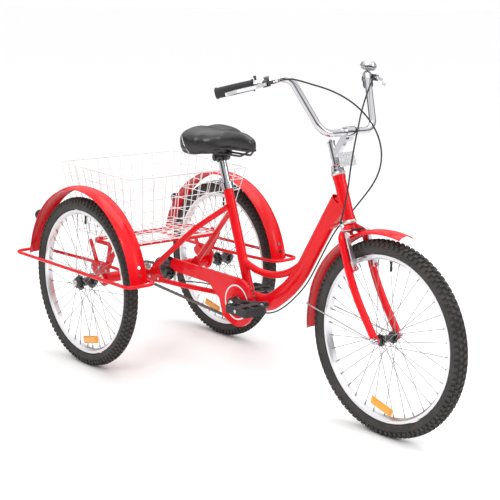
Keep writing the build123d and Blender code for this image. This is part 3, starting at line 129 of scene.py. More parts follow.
def lathe(shape, origin, direction, profile, segments=48):
    """Adds a turned solid to a bmesh; the closed profile is (along, radius) pairs."""
    direction = Vector(direction).normalized()
    side, up = axes_of(direction)
    origin = Vector(origin)
    rings = []
    for along, radius in profile:
        centre = origin + direction * along
        if radius < 1e-6:
            rings.append([shape.verts.new(centre)])
            continue
        turns = (2 * pi * k / segments for k in range(segments))
        rings.append([shape.verts.new(centre + (side * cos(a) + up * sin(a)) * radius) for a in turns])
    for ring_a, ring_b in zip(rings, rings[1:] + rings[:1]):
        if len(ring_a) == 1 and len(ring_b) == 1:
            continue
        for k in range(segments):
            corners = [ring_a[k % len(ring_a)], ring_a[(k + 1) % len(ring_a)],
                       ring_b[(k + 1) % len(ring_b)], ring_b[k % len(ring_b)]]
            distinct = list(dict.fromkeys(corners))
            if len(distinct) > 2:
                shape.faces.new(distinct)


def turned_piece(name, origin, direction, profile, segments=48, angle=35.0):
    """One turned object."""
    shape = bmesh.new()
    lathe(shape, origin, direction, profile, segments)
    return sharpen(from_bmesh(name, shape), angle)


def block(shape, centre, axes, size, taper=1.0):
    """Adds a six-sided block to a bmesh, its last axis tapering outwards."""
    corners = []
    for c in (-1, 1):
        scale = taper if c > 0 else 1.0
        for a, b in ((-1, -1), (1, -1), (1, 1), (-1, 1)):
            flat = axes[0] * (a * size[0] * scale) + axes[1] * (b * size[1] * scale)
            corners.append(shape.verts.new(centre + (flat + axes[2] * (c * size[2])) / 2))
    for face in ((3, 2, 1, 0), (4, 5, 6, 7), (0, 1, 5, 4), (1, 2, 6, 5), (2, 3, 7, 6), (3, 0, 4, 7)):
        shape.faces.new([corners[k] for k in face])


def nurbs_curve(name, points, radius=0.0):
    """Smooth NURBS line through a route's control points, round if it has a radius."""
    data = bpy.data.curves.new(name, "CURVE")
    data.dimensions = "3D"
    data.resolution_u = 10
    data.bevel_depth = radius
    data.bevel_resolution = 5
    data.use_fill_caps = radius > 0
    spline = data.splines.new("NURBS")
    spline.points.add(len(points) - 1)
    for point, place_at in zip(spline.points, points):
        point.co = (*place_at, 1.0)
    spline.order_u = 3
    spline.use_endpoint_u = True
    return link(bpy.data.objects.new(name, data))


def as_mesh(curve):
    """Replaces a curve object by its mesh."""
    graph = bpy.context.evaluated_depsgraph_get()
    mesh = bpy.data.meshes.new_from_object(curve.evaluated_get(graph))
    mesh.polygons.foreach_set("use_smooth", [True] * len(mesh.polygons))
    name = curve.name
    bpy.data.objects.remove(curve)
    obj = link(bpy.data.objects.new(name, mesh))
    obj.data.materials.clear()
    return obj


# ---------------------------------------------------------------- materials
class Paint:
    """A node material on one Principled shader, with helpers for its textures."""

    def __init__(self, name, colour, roughness, metallic=0.0, **sockets):
        self.material = bpy.data.materials.new(name)
        self.material.use_nodes = True
        self.tree = self.material.node_tree
        self.shader = self.tree.nodes["Principled BSDF"]
        self.shader.inputs["Base Color"].default_value = (*colour, 1.0)
        self.shader.inputs["Roughness"].default_value = roughness
        self.shader.inputs["Metallic"].default_value = metallic
        for socket, value in sockets.items():
            self.shader.inputs[socket.replace("_", " ")].default_value = value
        self.coords = self.tree.nodes.new("ShaderNodeTexCoord").outputs["Object"]
        self.normal = None

    def texture(self, kind, scale, stretch=(1, 1, 1), **settings):
        """A texture node in object space."""
        mapping = self.tree.nodes.new("ShaderNodeMapping")
        mapping.inputs["Scale"].default_value = stretch
        self.tree.links.new(self.coords, mapping.inputs["Vector"])
        node = self.tree.nodes.new(kind)
        node.inputs["Scale"].default_value = scale
        for socket, value in settings.items():
            node.inputs[socket.replace("_", " ")].default_value = value
        self.tree.links.new(mapping.outputs["Vector"], node.inputs["Vector"])
        return node

    def ramp(self, source, low, high, from_value, to_value):
        """Maps a source from low..high to from_value..to_value, which are numbers or colours."""
        node = self.tree.nodes.new("ShaderNodeValToRGB")
        node.color_ramp.elements[0].position = low
        node.color_ramp.elements[1].position = high
        for element, value in zip(node.color_ramp.elements, (from_value, to_value)):
            element.color = (*value, 1.0) if isinstance(value, tuple) else (value, value, value, 1.0)
        self.tree.links.new(source, node.inputs["Fac"])
        return node.outputs["Color"]

    def colour_from(self, source, low, high, first, second):
        """Base colour varying between two colours."""
        self.tree.links.new(self.ramp(source, low, high, first, second), self.shader.inputs["Base Color"])

    def roughness_from(self, source, low, high, first, second):
        """Roughness varying between two values."""
        self.tree.links.new(self.ramp(source, low, high, first, second), self.shader.inputs["Roughness"])

    def bump_from(self, source, distance, strength=1.0):
        """Adds a bump on top of the ones before."""
        node = self.tree.nodes.new("ShaderNodeBump")
        node.inputs["Distance"].default_value = distance
        node.inputs["Strength"].default_value = strength
        self.tree.links.new(source, node.inputs["Height"])
        if self.normal is not None:
            self.tree.links.new(self.normal, node.inputs["Normal"])
        self.normal = node.outputs["Normal"]
        self.tree.links.new(self.normal, self.shader.inputs["Normal"])


def enamel(name, first, second, peel=0.00004):
    """Glossy stoved paint with faint orange peel and slightly uneven colour."""
    paint = Paint(name, first, 0.32, Specular_IOR_Level=0.12,
                  Coat_Weight=0.45, Coat_Roughness=0.05, Coat_IOR=1.45)
    clouds = paint.texture("ShaderNodeTexNoise", 7.0, Detail=3.0)
    paint.colour_from(clouds.outputs["Fac"], 0.35, 0.68, first, second)
    peel_noise = paint.texture("ShaderNodeTexNoise", 520.0, Detail=2.0)
    paint.bump_from(peel_noise.outputs["Fac"], peel, 0.35)
    return paint.material


def bright_metal(name, colour, smooth, rough, grain=240.0, stretch=(1, 1, 1)):
    """Polished or satin metal whose roughness wanders, with a fine grain."""
    paint = Paint(name, colour, smooth, 1.0)
    smears = paint.texture("ShaderNodeTexNoise", 22.0, Detail=5.0)
    paint.roughness_from(smears.outputs["Fac"], 0.3, 0.72, smooth, rough)
    fine = paint.texture("ShaderNodeTexNoise", grain, stretch, Detail=3.0)
    paint.bump_from(fine.outputs["Fac"], 0.00002, 0.25)
    return paint.material


def moulded(name, first, second, roughness, grain_scale, grain_depth, **sockets):
    """Moulded rubber or plastic with a fine pebbled grain."""
    paint = Paint(name, first, roughness, **sockets)
    dust = paint.texture("ShaderNodeTexNoise", 30.0, Detail=6.0)
    paint.colour_from(dust.outputs["Fac"], 0.38, 0.75, first, second)
    paint.roughness_from(dust.outputs["Fac"], 0.3, 0.75, roughness, min(1.0, roughness + 0.14))
    pebbles = paint.texture("ShaderNodeTexVoronoi", grain_scale)
    paint.bump_from(pebbles.outputs["Distance"], grain_depth, 0.6)
    return paint.material


def grained_vinyl(name):
    """Black leather-look vinyl: irregular creases over a soft sheen."""
    paint = Paint(name, (0.010, 0.009, 0.009), 0.34, Coat_Weight=0.25, Coat_Roughness=0.22)
    wear = paint.texture("ShaderNodeTexNoise", 18.0, Detail=5.0)
    paint.colour_from(wear.outputs["Fac"], 0.35, 0.75, (0.008, 0.007, 0.007), (0.018, 0.016, 0.016))
    paint.roughness_from(wear.outputs["Fac"], 0.3, 0.75, 0.3, 0.46)
    creases = paint.texture("ShaderNodeTexVoronoi", 520.0, Randomness=0.95)
    paint.bump_from(creases.outputs["Distance"], 0.00022, 0.7)
    swells = paint.texture("ShaderNodeTexNoise", 90.0, Detail=4.0)
    paint.bump_from(swells.outputs["Fac"], 0.0005, 0.35)
    return paint.material


def prism_lens(name, colour, transmission):
    """Reflector plastic over a field of small prisms."""
    paint = Paint(name, colour, 0.08, Transmission_Weight=transmission, IOR=1.49, Coat_Weight=0.6)
    prisms = paint.texture("ShaderNodeTexVoronoi", 330.0, Randomness=0.0)
    paint.colour_from(prisms.outputs["Distance"], 0.1, 0.75, colour, tuple(c * 0.85 for c in colour))
    paint.bump_from(prisms.outputs["Distance"], 0.0012, 0.8)
    return paint.material


red_paint = enamel("red_paint", (0.70, 0.0012, 0.006), (0.78, 0.0022, 0.010))
white_paint = enamel("white_paint", (0.86, 0.86, 0.86), (0.90, 0.90, 0.89))
white_wire = enamel("white_wire", (0.80, 0.80, 0.80), (0.88, 0.88, 0.88), 0.00008)
chrome = bright_metal("chrome", (0.56, 0.56, 0.59), 0.05, 0.14)
bell_metal = bright_metal("bell_metal", (0.66, 0.66, 0.68), 0.22, 0.34, 300.0)
alloy = bright_metal("alloy", (0.74, 0.74, 0.76), 0.26, 0.36, 700.0)
satin_alloy = bright_metal("satin_alloy", (0.62, 0.62, 0.64), 0.30, 0.42, 500.0)
spoke_steel = bright_metal("spoke_steel", (0.30, 0.30, 0.31), 0.30, 0.42)
zinc = bright_metal("zinc", (0.60, 0.59, 0.57), 0.28, 0.44, 420.0)
chain_steel = bright_metal("chain_steel", (0.20, 0.18, 0.17), 0.32, 0.5, 500.0)
black_metal = moulded("black_metal", (0.014, 0.014, 0.015), (0.022, 0.022, 0.023), 0.34, 900.0, 0.00004,
                      Coat_Weight=0.35, Coat_Roughness=0.18)
black_rubber = moulded("black_rubber", (0.013, 0.013, 0.013), (0.026, 0.026, 0.026), 0.62, 800.0, 0.0001)
black_resin = moulded("black_resin", (0.017, 0.017, 0.018), (0.032, 0.032, 0.033), 0.48, 650.0, 0.00012)
tyre_rubber = moulded("tyre_rubber", (0.026, 0.023, 0.021), (0.052, 0.046, 0.042), 0.6, 420.0, 0.0003)
grey_resin = moulded("grey_resin", (0.42, 0.42, 0.42), (0.52, 0.52, 0.52), 0.4, 650.0, 0.00008)
vinyl = grained_vinyl("vinyl")
clear_lens = prism_lens("clear_lens", (0.86, 0.87, 0.88), 0.35)
amber_lens = prism_lens("amber_lens", (1.0, 0.42, 0.012), 0.0)
red_lens = prism_lens("red_lens", (0.55, 0.01, 0.012), 0.2)

NODE_MATERIALS = {
    "head_tube": red_paint, "down_tube": red_paint, "cross_tube": red_paint, "seat_tube": red_paint,
    "rear_stays": red_paint, "bracket_plates": red_paint, "axle_housings": red_paint,
    "basket_platform": red_paint, "wheel_guard_loops": red_paint, "rear_mudguards": red_paint,
    "basket": white_wire, "frame_bolts": chrome, "frame_bearings": zinc, "chain_guard": red_paint,
    "brake_band": black_metal, "rear_reflectors": black_resin, "seat_clamp": chrome,
    "seat_clamp_lever": chrome, "seatpost": chrome, "saddle_frame": black_metal, "chainring": zinc,
    "crank_arms": black_metal, "crank_axle": zinc, "pedal_right": black_resin, "pedal_left": black_resin,
    "rear_axle": zinc, "brake_drum": black_metal, "freewheel_sprocket": zinc, "band_brake_arm": zinc,
    "rear_right_hub": black_metal, "rear_right_spokes": spoke_steel, "rear_right_rim": alloy,
    "rear_left_hub": black_metal, "rear_left_spokes": spoke_steel, "rear_left_rim": alloy,
    "front_hub": black_metal, "front_spokes": spoke_steel, "front_rim": alloy, "fork": red_paint,
    "front_axle": chrome, "front_mudguard": red_paint, "stem": chrome, "handlebar": chrome,
    "lever_bodies": black_metal, "brake_lever_left": alloy, "brake_lever_right": alloy,
    "bell_lever": chrome, "front_reflector": clear_lens, "front_brake_arm_left": satin_alloy,
    "front_brake_arm_right": satin_alloy}


def dress_nodes():
    """Every CAD node that stays in view gets its material."""
    for name, material in NODE_MATERIALS.items():
        node = nodes[name]
        node.data.materials.clear()
        node.data.materials.append(material)


dress_nodes()


MUDGUARD_INNER_R = 0.3235
STAYS_TOP_Z = 0.40


def chrome_stays():
    """The front mudguard's stays are chrome: everything low down and inside the guard's own radius."""
    mesh = nodes["front_mudguard"].data
    mesh.materials.append(chrome)
    axle = Vector(joints["front_wheel_spin"]["pos_m"])
    for polygon in mesh.polygons:
        middle = polygon.center
        radius = hypot(middle.x - axle.x, middle.z - axle.z)
        if radius < MUDGUARD_INNER_R and middle.z < STAYS_TOP_Z:
            polygon.material_index = 1


chrome_stays()


# ---------------------------------------------------------------- brake cables
CABLE_R = 0.0025
FRONT_CABLE_ROUTE = [
    (0.3553, 0.2043, 1.0707), (0.376, 0.182, 1.077), (0.392, 0.159, 1.071), (0.402, 0.134, 1.049),
    (0.411, 0.110, 1.021), (0.424, 0.082, 0.989), (0.446, 0.048, 0.958), (0.468, 0.016, 0.921),
    (0.471, 0.002, 0.882), (0.470, -0.005, 0.842), (0.471, -0.014, 0.801), (0.477, -0.026, 0.759),
    (0.485, -0.042, 0.719), (0.490, -0.058, 0.680), (0.4864, -0.066, 0.6429)]
REAR_LOOP_ROUTE = [
    (0.3553, -0.2043, 1.0707), (0.377, -0.181, 1.077), (0.394, -0.158, 1.071), (0.414, -0.130, 1.061),
    (0.440, -0.097, 1.049), (0.464, -0.060, 1.031), (0.484, -0.020, 1.004), (0.496, 0.018, 0.970),
    (0.504, 0.050, 0.931), (0.507, 0.074, 0.887), (0.502, 0.090, 0.840), (0.488, 0.097, 0.792),
    (0.466, 0.092, 0.746), (0.442, 0.076, 0.705), (0.426, 0.053, 0.669), (0.413, 0.026, 0.634),
    (0.396, 0.002, 0.602), (0.371, 0.0, 0.560)]
REAR_CABLE_ROUTE = [
    (0.371, 0.0, 0.560), (0.346, -0.002, 0.518), (0.316, 0.0, 0.470), (0.276, 0.002, 0.410),
    (0.238, 0.001, 0.368), (0.196, 0.0, 0.329), (0.140, 0.002, 0.289), (0.090, 0.004, 0.268),
    (0.040, 0.008, 0.262), (-0.010, 0.016, 0.262), (-0.062, 0.030, 0.270), (-0.120, 0.046, 0.280),
    (-0.190, 0.056, 0.286), (-0.262, 0.060, 0.287), (-0.334, 0.058, 0.284), (-0.400, 0.052, 0.277),
    (-0.446, 0.0475, 0.270), (-0.479, 0.0465, 0.268)]


def make_cables():
    """The three brake cable housings; the loop runs between the steered parts and the frame and is attached
    to neither.
    """
    front = as_mesh(nurbs_curve("front_cable", FRONT_CABLE_ROUTE, CABLE_R))
    place(front, "steering", black_rubber, ("front_brake_cable",))
    rear = as_mesh(nurbs_curve("rear_cable", REAR_CABLE_ROUTE, CABLE_R))
    place(rear, "frame", black_rubber, ("rear_brake_cable",))
    loop = as_mesh(nurbs_curve("rear_cable_loop", REAR_LOOP_ROUTE, CABLE_R))
    loop.data.materials.append(black_rubber)
    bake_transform(loop)
    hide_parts("rear_brake_cable_loop")


make_cables()


# ---------------------------------------------------------------- wheels
WHEELS = {"front": "front_wheel", "rear_right": "drive_wheel", "rear_left": "free_wheel"}
CARCASS_R = 0.0217
CARCASS_WALL = 0.003
CARCASS_STEPS = 44
LINING_STEPS = 12
BEAD_ANGLE = 138.0
SIDE_RIB = 0.0006
SIDE_RIBS_FROM = 78
TREAD_HEIGHT = 0.0053
KNOB_PITCH = 0.0205
KNOB_SINK = 0.0006
KNOB_ROOT = 0.001
KNOB_TAPER = 0.86
KNOB_SKEW = 0.25
ROW_ANGLES = (0.0, 31.0, 62.0)
ROW_SIZES = ((0.0126, 0.0112), (0.0112, 0.0104), (0.0120, 0.0122))
VALVE_SINK = 0.014
REFLECTOR_STANDOFF = 0.014
REFLECTOR_TRAY = (0.092, 0.027, 0.004)
REFLECTOR_LENS = (0.086, 0.022, 0.005)
REFLECTOR_TAPER = 0.95
REFLECTOR_ROUNDING = 0.0014
LENS_LIFT = 0.0035
CLIP_SIZE = (0.010, 0.009, 0.008)
CLIP_TAPER = 0.9
CLIP_ALONG = 0.030
CLIP_INSET = 0.004


def wheel_place(name):
    """Centre, outer radius and half width of a wheel, from its tyre's box."""
    low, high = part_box(f"{name}_tyre")
    return (low + high) / 2, (high.z - low.z) / 2, (high.y - low.y) / 2


def carcass_profile(section_r):
    """Closed section of the tyre: the ribbed outside, then the smooth lining back round."""
    profile = []
    for k in range(CARCASS_STEPS + 1):
        angle = radians(-BEAD_ANGLE + 2 * BEAD_ANGLE * k / CARCASS_STEPS)
        rib = SIDE_RIB if abs(angle) > radians(SIDE_RIBS_FROM) and k % 3 == 0 else 0.0
        profile.append(((CARCASS_R + rib) * sin(angle), section_r + (CARCASS_R + rib) * cos(angle)))
    lining_r = CARCASS_R - CARCASS_WALL
    for k in range(LINING_STEPS + 1):
        angle = radians(BEAD_ANGLE - 2 * BEAD_ANGLE * k / LINING_STEPS)
        profile.append((lining_r * sin(angle), section_r + lining_r * cos(angle)))
    return profile


def knob(shape, centre, section_r, turn, tilt, size, skew):
    """Adds one tread block, standing out from the carcass at a turn round the wheel and a tilt."""
    radial = Vector((cos(turn), 0, sin(turn)))
    tangent = Vector((-sin(turn), 0, cos(turn)))
    outward = radial * cos(tilt) + Vector((0, sin(tilt), 0))
    sideways = tangent.cross(outward)
    middle_r = CARCASS_R + TREAD_HEIGHT / 2 - KNOB_SINK
    middle = centre + radial * section_r + outward * middle_r
    along = (tangent + sideways * skew).normalized()
    block(shape, middle, (along, sideways, outward), (*size, TREAD_HEIGHT + KNOB_ROOT), KNOB_TAPER)


def tyre(name, body):
    """Knobby tyre: a ribbed carcass with a middle row of tread blocks and two rows on each side."""
    centre, outer_r, half_width = wheel_place(name)
    section_r = outer_r - half_width
    shape = bmesh.new()
    lathe(shape, centre, (0, 1, 0), carcass_profile(section_r), 128)
    count = round(2 * pi * outer_r / KNOB_PITCH / 2) * 2
    for row, (angle, size) in enumerate(zip(ROW_ANGLES, ROW_SIZES)):
        for side in ((1,) if row == 0 else (-1, 1)):
            skew = KNOB_SKEW * side if row > 0 else 0.0
            for k in range(count):
                turn = 2 * pi * (k + 0.5 * (row % 2)) / count
                knob(shape, centre, section_r, turn, radians(angle * side), size, skew)
    piece = sharpen(from_bmesh(f"{name}_knobby_tyre", shape), 30.0)
    place(piece, body, tyre_rubber, (f"{name}_tyre",))


def valve(name, body, angle):
    """Rubber valve stem with its cap, standing inwards from the rim."""
    centre, _, _ = wheel_place(name)
    low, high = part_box(f"{name}_rim")
    rim_r = (high.z - low.z) / 2
    inwards = Vector((-cos(angle), 0, -sin(angle)))
    foot = centre - inwards * (rim_r - VALVE_SINK)
    profile = [(0, 0), (0, 0.0050), (0.003, 0.0052), (0.006, 0.0036), (0.020, 0.0032), (0.021, 0.0043),
               (0.033, 0.0040), (0.035, 0.0030), (0.035, 0)]
    place(turned_piece(f"{name}_valve", foot, inwards, profile, 20), body, black_rubber, ())


def spoke_reflector(name, body, angle, reach, tilt, side):
    """Amber reflector clipped across the spokes: a tray with two clip ears, and a lens."""
    centre, _, _ = wheel_place(name)
    radial = Vector((cos(angle), 0, sin(angle)))
    turn = angle + pi / 2 + tilt
    tangent = Vector((cos(turn), 0, sin(turn)))
    across = Vector((-sin(turn), 0, cos(turn)))
    outward = Vector((0, side, 0))
    middle = centre + radial * reach + outward * REFLECTOR_STANDOFF
    for part, size, lift in (("tray", REFLECTOR_TRAY, 0.0), ("lens", REFLECTOR_LENS, LENS_LIFT)):
        shape = bmesh.new()
        block(shape, middle + outward * lift, (tangent, across, outward), size, REFLECTOR_TAPER)
        bmesh.ops.bevel(shape, geom=list(shape.edges), offset=REFLECTOR_ROUNDING, segments=3, affect="EDGES")
        if part == "tray":
            for end in (-1, 1):
                ear = middle + tangent * (end * CLIP_ALONG) - outward * CLIP_INSET
                block(shape, ear, (tangent, across, outward), CLIP_SIZE, CLIP_TAPER)
        piece = sharpen(from_bmesh(f"{name}_spoke_reflector_{part}", shape), 50.0)
        place(piece, body, amber_lens)


for wheel_name, wheel_body in WHEELS.items():
    tyre(wheel_name, wheel_body)
valve("front", "front_wheel", radians(88.0))
valve("rear_right", "drive_wheel", radians(88.5))
valve("rear_left", "free_wheel", radians(88.5))
spoke_reflector("front", "front_wheel", radians(270.0), 0.211, radians(-15.5), -1)
spoke_reflector("rear_right", "drive_wheel", radians(283.0), 0.208, 0.0, -1)
spoke_reflector("rear_left", "free_wheel", radians(257.7), 0.203, 0.0, -1)


# ---------------------------------------------------------------- chain
CHAIN_PITCH = 0.0127
CHAIN_Y = -0.048
RING_TEETH = 36
SPROCKET_TEETH = 18
PLATE_END_R = 0.0042
PLATE_THICKNESS = 0.0010
INNER_PLATE_Y = 0.0024
OUTER_PLATE_Y = 0.0036
PIN_R = 0.0017
PIN_HALF = 0.0045
ROLLER_R = 0.0038
ROLLER_HALF = 0.0019


def chain_path():
    """Pin places round the chainring and the freewheel, evenly spaced along the pitch line."""
    ring = Vector(joints["crank_spin"]["pos_m"])
    sprocket = Vector(joints["freewheel_spin"]["pos_m"])
    ring_r = CHAIN_PITCH / sin(pi / RING_TEETH) / 2
    sprocket_r = CHAIN_PITCH / sin(pi / SPROCKET_TEETH) / 2
    gap = sprocket - ring
    back = gap.normalized()
    lean = (ring_r - sprocket_r) / gap.length
    straight = sqrt(gap.length ** 2 - (ring_r - sprocket_r) ** 2)
    up = Vector((-back.z, 0, back.x))
    if up.z < 0:
        up = -up
    upper = back * lean + up * sqrt(1 - lean * lean)
    lower = back * lean - up * sqrt(1 - lean * lean)
    ring_arc = 2 * pi - upper.angle(lower)
    sprocket_arc = upper.angle(lower)
    total = 2 * straight + ring_arc * ring_r + sprocket_arc * sprocket_r
    count = round(total / CHAIN_PITCH / 2) * 2
    nudged = Quaternion((0, 1, 0), 0.1) @ upper
    turn_sign = 1 if nudged.dot(back) < upper.dot(back) else -1
    places = []
    for k in range(count):
        s = total * k / count
        if s < straight:
            run = sprocket - ring + upper * (sprocket_r - ring_r)
            places.append(ring + upper * ring_r + run * (s / straight))
            continue
        s -= straight
        if s < sprocket_arc * sprocket_r:
            turn = Quaternion((0, 1, 0), -turn_sign * s / sprocket_r)
            places.append(sprocket + (turn @ upper) * sprocket_r)
            continue
        s -= sprocket_arc * sprocket_r
        if s < straight:
            start = sprocket + lower * sprocket_r
            places.append(start + (ring + lower * ring_r - start) * (s / straight))
            continue
        s -= straight
        turn = Quaternion((0, 1, 0), -turn_sign * s / ring_r)
        places.append(ring + (turn @ lower) * ring_r)
    for place_at in places:
        place_at.y = CHAIN_Y
    return places


def link_plate(shape, a, b, y, thickness):
    """Adds a round-ended side plate between two pins."""
    along = (b - a).normalized()
    across = Vector((0, 1, 0)).cross(along)
    middle = (a + b) / 2
    half = (b - a).length / 2
    outline = []
    for end in (1, -1):
        for k in range(7):
            angle = radians(-78 + 26 * k)
            outline.append((end * (half + PLATE_END_R * cos(angle)), end * PLATE_END_R * sin(angle)))
    layers = []
    for offset in (y - thickness / 2, y + thickness / 2):
        corners = [middle + along * u + across * v for u, v in outline]
        layers.append([shape.verts.new((c.x, offset, c.z)) for c in corners])
    shape.faces.new(layers[0][::-1])
    shape.faces.new(layers[1])
    for k in range(len(outline)):
        following = (k + 1) % len(outline)
        shape.faces.new([layers[0][k], layers[0][following], layers[1][following], layers[1][k]])


def chain():
    """Roller chain: inner and outer plates by turns, with a roller on every pin."""
    pins = chain_path()
    shape = bmesh.new()
    near, far = PIN_HALF - ROLLER_HALF, PIN_HALF + ROLLER_HALF
    roller = [(0, 0), (0, PIN_R), (near, PIN_R), (near, ROLLER_R), (far, ROLLER_R), (far, PIN_R),
              (2 * PIN_HALF, PIN_R), (2 * PIN_HALF, 0)]
    for k, (a, b) in enumerate(zip(pins, pins[1:] + pins[:1])):
        reach = INNER_PLATE_Y if k % 2 else OUTER_PLATE_Y
        for side in (-1, 1):
            link_plate(shape, a, b, CHAIN_Y + side * reach, PLATE_THICKNESS)
        lathe(shape, a - Vector((0, PIN_HALF, 0)), (0, 1, 0), roller, 10)
    place(sharpen(from_bmesh("roller_chain", shape), 40.0), "frame", chain_steel, ("chain",))


chain()


# ---------------------------------------------------------------- chain guard ring
RING_INNER_R = 0.0560
RING_OUTER_R = 0.0606
RING_HEIGHT = 0.0006
RING_PROUD = 0.00025


def guard_ring():
    """Plain white ring on the outer face of the chain guard."""
    low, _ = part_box("chain_guard")
    centre = Vector(joints["crank_spin"]["pos_m"])
    face = Vector((centre.x, low.y - RING_PROUD, centre.z))
    profile = [(0, RING_INNER_R), (0, RING_OUTER_R), (RING_HEIGHT, RING_OUTER_R), (RING_HEIGHT, RING_INNER_R)]
    place(turned_piece("guard_ring", face, (0, 1, 0), profile, 96), "frame", white_paint)


guard_ring()


# ---------------------------------------------------------------- handlebar pieces
BAR_RUN_START = Vector((0.3559, 0.1640, 1.0812))
BAR_RUN = Vector((-0.659269, 0.713744, -0.236502))
BAR_AHEAD = Vector((0.748225, 0.653833, -0.112526))
BAR_ABOVE = Vector((-0.074318, 0.251142, 0.965093))
BAR_R = 0.0111
GRIP_FROM = 0.108
GRIP_TO = 0.2268
GRIP_RING_PITCH = 0.0036
GRIP_SWELL = 0.0006
GROOVE_R = 0.0152
RIDGE_R = 0.0160
LEVER_AT = 0.068


def on_bar(side, along, ahead=0.0, above=0.0):
    """Point beside the bar's end run on the left (1) or right (-1)."""
    p = BAR_RUN_START + BAR_RUN * along + BAR_AHEAD * ahead + BAR_ABOVE * above
    return Vector((p.x, p.y * side, p.z))


def run_of(side, direction=BAR_RUN):
    """A bar direction on the left or right side."""
    return Vector((direction.x, direction.y * side, direction.z))


def grip(side):
    """Rubber grip with fine rings, a flange at the inner end and a domed outer end."""
    profile = [(0, BAR_R), (0, 0.0178), (0.0012, 0.0186), (0.0040, 0.0186), (0.0052, 0.0168)]
    at = 0.008
    length = GRIP_TO - GRIP_FROM
    while at < length - 0.014:
        swell = GRIP_SWELL * sin(pi * at / length)
        profile += [(at, GROOVE_R + swell), (at + 0.0006, RIDGE_R + swell), (at + 0.0022, RIDGE_R + swell),
                    (at + 0.0028, GROOVE_R + swell)]
        at += GRIP_RING_PITCH
    profile += [(length - 0.010, 0.0158), (length - 0.008, 0.0172), (length - 0.003, 0.0172),
                (length, 0.0150), (length + 0.0012, 0.0090), (length + 0.0014, 0),
                (length - 0.006, 0), (length - 0.006, BAR_R)]
    name = "grip_left" if side > 0 else "grip_right"
    piece = turned_piece(name, on_bar(side, GRIP_FROM), run_of(side), profile, 48, 60.0)
    return place(piece, "steering", black_rubber, ("grips",))


def barrel_adjuster(side):
    """Twelve-sided adjuster and locknut where the cable leaves the lever body."""
    name = "barrel_adjuster_left" if side > 0 else "barrel_adjuster_right"
    start = on_bar(side, LEVER_AT - 0.019, 0.027)
    profile = [(0, 0), (0, 0.0056), (0.003, 0.0056), (0.0032, 0.0036), (0.005, 0.0036), (0.0052, 0.0052),
               (0.0125, 0.0048), (0.014, 0.0040), (0.0185, 0.0034), (0.0185, 0)]
    piece = turned_piece(name, start, -run_of(side), profile, 12, 20.0)
    return place(piece, "steering", chrome)


def clamp_band(side):
    """Chrome clamp beside the grip with its upright screw."""
    label = "left" if side > 0 else "right"
    band = turned_piece(f"grip_clamp_{label}", on_bar(side, GRIP_FROM - 0.012), run_of(side),
                        [(0, BAR_R), (0, 0.0142), (0.0008, 0.0150), (0.0092, 0.0150), (0.010, 0.0142),
                         (0.010, BAR_R)], 40)
    place(band, "steering", chrome)
    screw = turned_piece(f"grip_clamp_screw_{label}", on_bar(side, GRIP_FROM - 0.007, 0, 0.0145),
                         run_of(side, BAR_ABOVE), [(0, 0), (0, 0.0030), (0.005, 0.0030), (0.005, 0.0045),
                                                   (0.010, 0.0045), (0.011, 0.0035), (0.011, 0)], 20)
    place(screw, "steering", black_metal)


for bar_side in (1, -1):
    grip(bar_side)
    barrel_adjuster(bar_side)
    clamp_band(bar_side)


BELL_LEVER_HEIGHT = 0.0235
DOME_FROM = 0.026
DOME_HEIGHT = 0.019
DOME_R = 0.027
DOME_RIDGE = 0.0006
DOME_STEPS = 24
LINING_HEIGHT = 0.0175
LINING_R = 0.0255


def bell():
    """Ridged metal dome over a grey base, on a strap round the bar."""
    axis = Vector(joints["bell_thumb_push"]["axis"]).normalized()
    foot = Vector(joints["bell_thumb_push"]["pos_m"]) - axis * BELL_LEVER_HEIGHT
    dome = []
    for k in range(DOME_STEPS + 1):
        angle = radians(90 * k / DOME_STEPS)
        ridge = DOME_RIDGE * cos(8 * angle * 3) if 3 < k < 18 else 0.0
        radius = (DOME_R + ridge) * cos(angle) ** 0.82 if k < DOME_STEPS else 0.0
        dome.append((DOME_FROM + (DOME_HEIGHT + ridge) * sin(angle), radius))
    for k in range(12, -1, -1):
        angle = radians(90 * k / 12)
        dome.append((DOME_FROM + LINING_HEIGHT * sin(angle), LINING_R * cos(angle) if k < 12 else 0.0))
    shell = turned_piece("bell_dome", foot, axis, dome, 64)
    place(shell, "steering", bell_metal, ("bell",))
    base = [(0.0095, 0), (0.0095, 0.0070), (0.0170, 0.0075), (0.0180, 0.0215), (0.0195, 0.0235),
            (0.0215, 0.0235), (0.0218, 0.0030), (0.0440, 0.0026), (0.0440, 0)]
    place(turned_piece("bell_base", foot, axis, base, 56), "steering", grey_resin)
    strap = [(-0.0055, BAR_R), (-0.0055, 0.0132), (-0.0045, 0.0138), (0.0045, 0.0138), (0.0055, 0.0132),
             (0.0055, BAR_R)]
    place(turned_piece("bell_strap", foot, BAR_RUN, strap, 48), "steering", chrome)


bell()


# ---------------------------------------------------------------- front brake details
NOODLE_ROUTE = [
    (0.4864, -0.066, 0.6429), (0.4925, -0.0655, 0.6260), (0.4940, -0.058, 0.6215), (0.4945, -0.038, 0.6214),
    (0.4945, -0.029, 0.6214)]
NOODLE_R = 0.0028
BOOT_LENGTH = 0.057
BOOT_PLEATS = 10
PLEAT_PITCH = 0.005
BRAKE_WIRE_FROM = 0.055
BRAKE_WIRE_LENGTH = 0.026
BRAKE_WIRE_R = 0.0009
FORK_AHEAD = Vector((0.9346, 0, 0.3557))
PIVOT_BOLT_LIFT = 0.0036


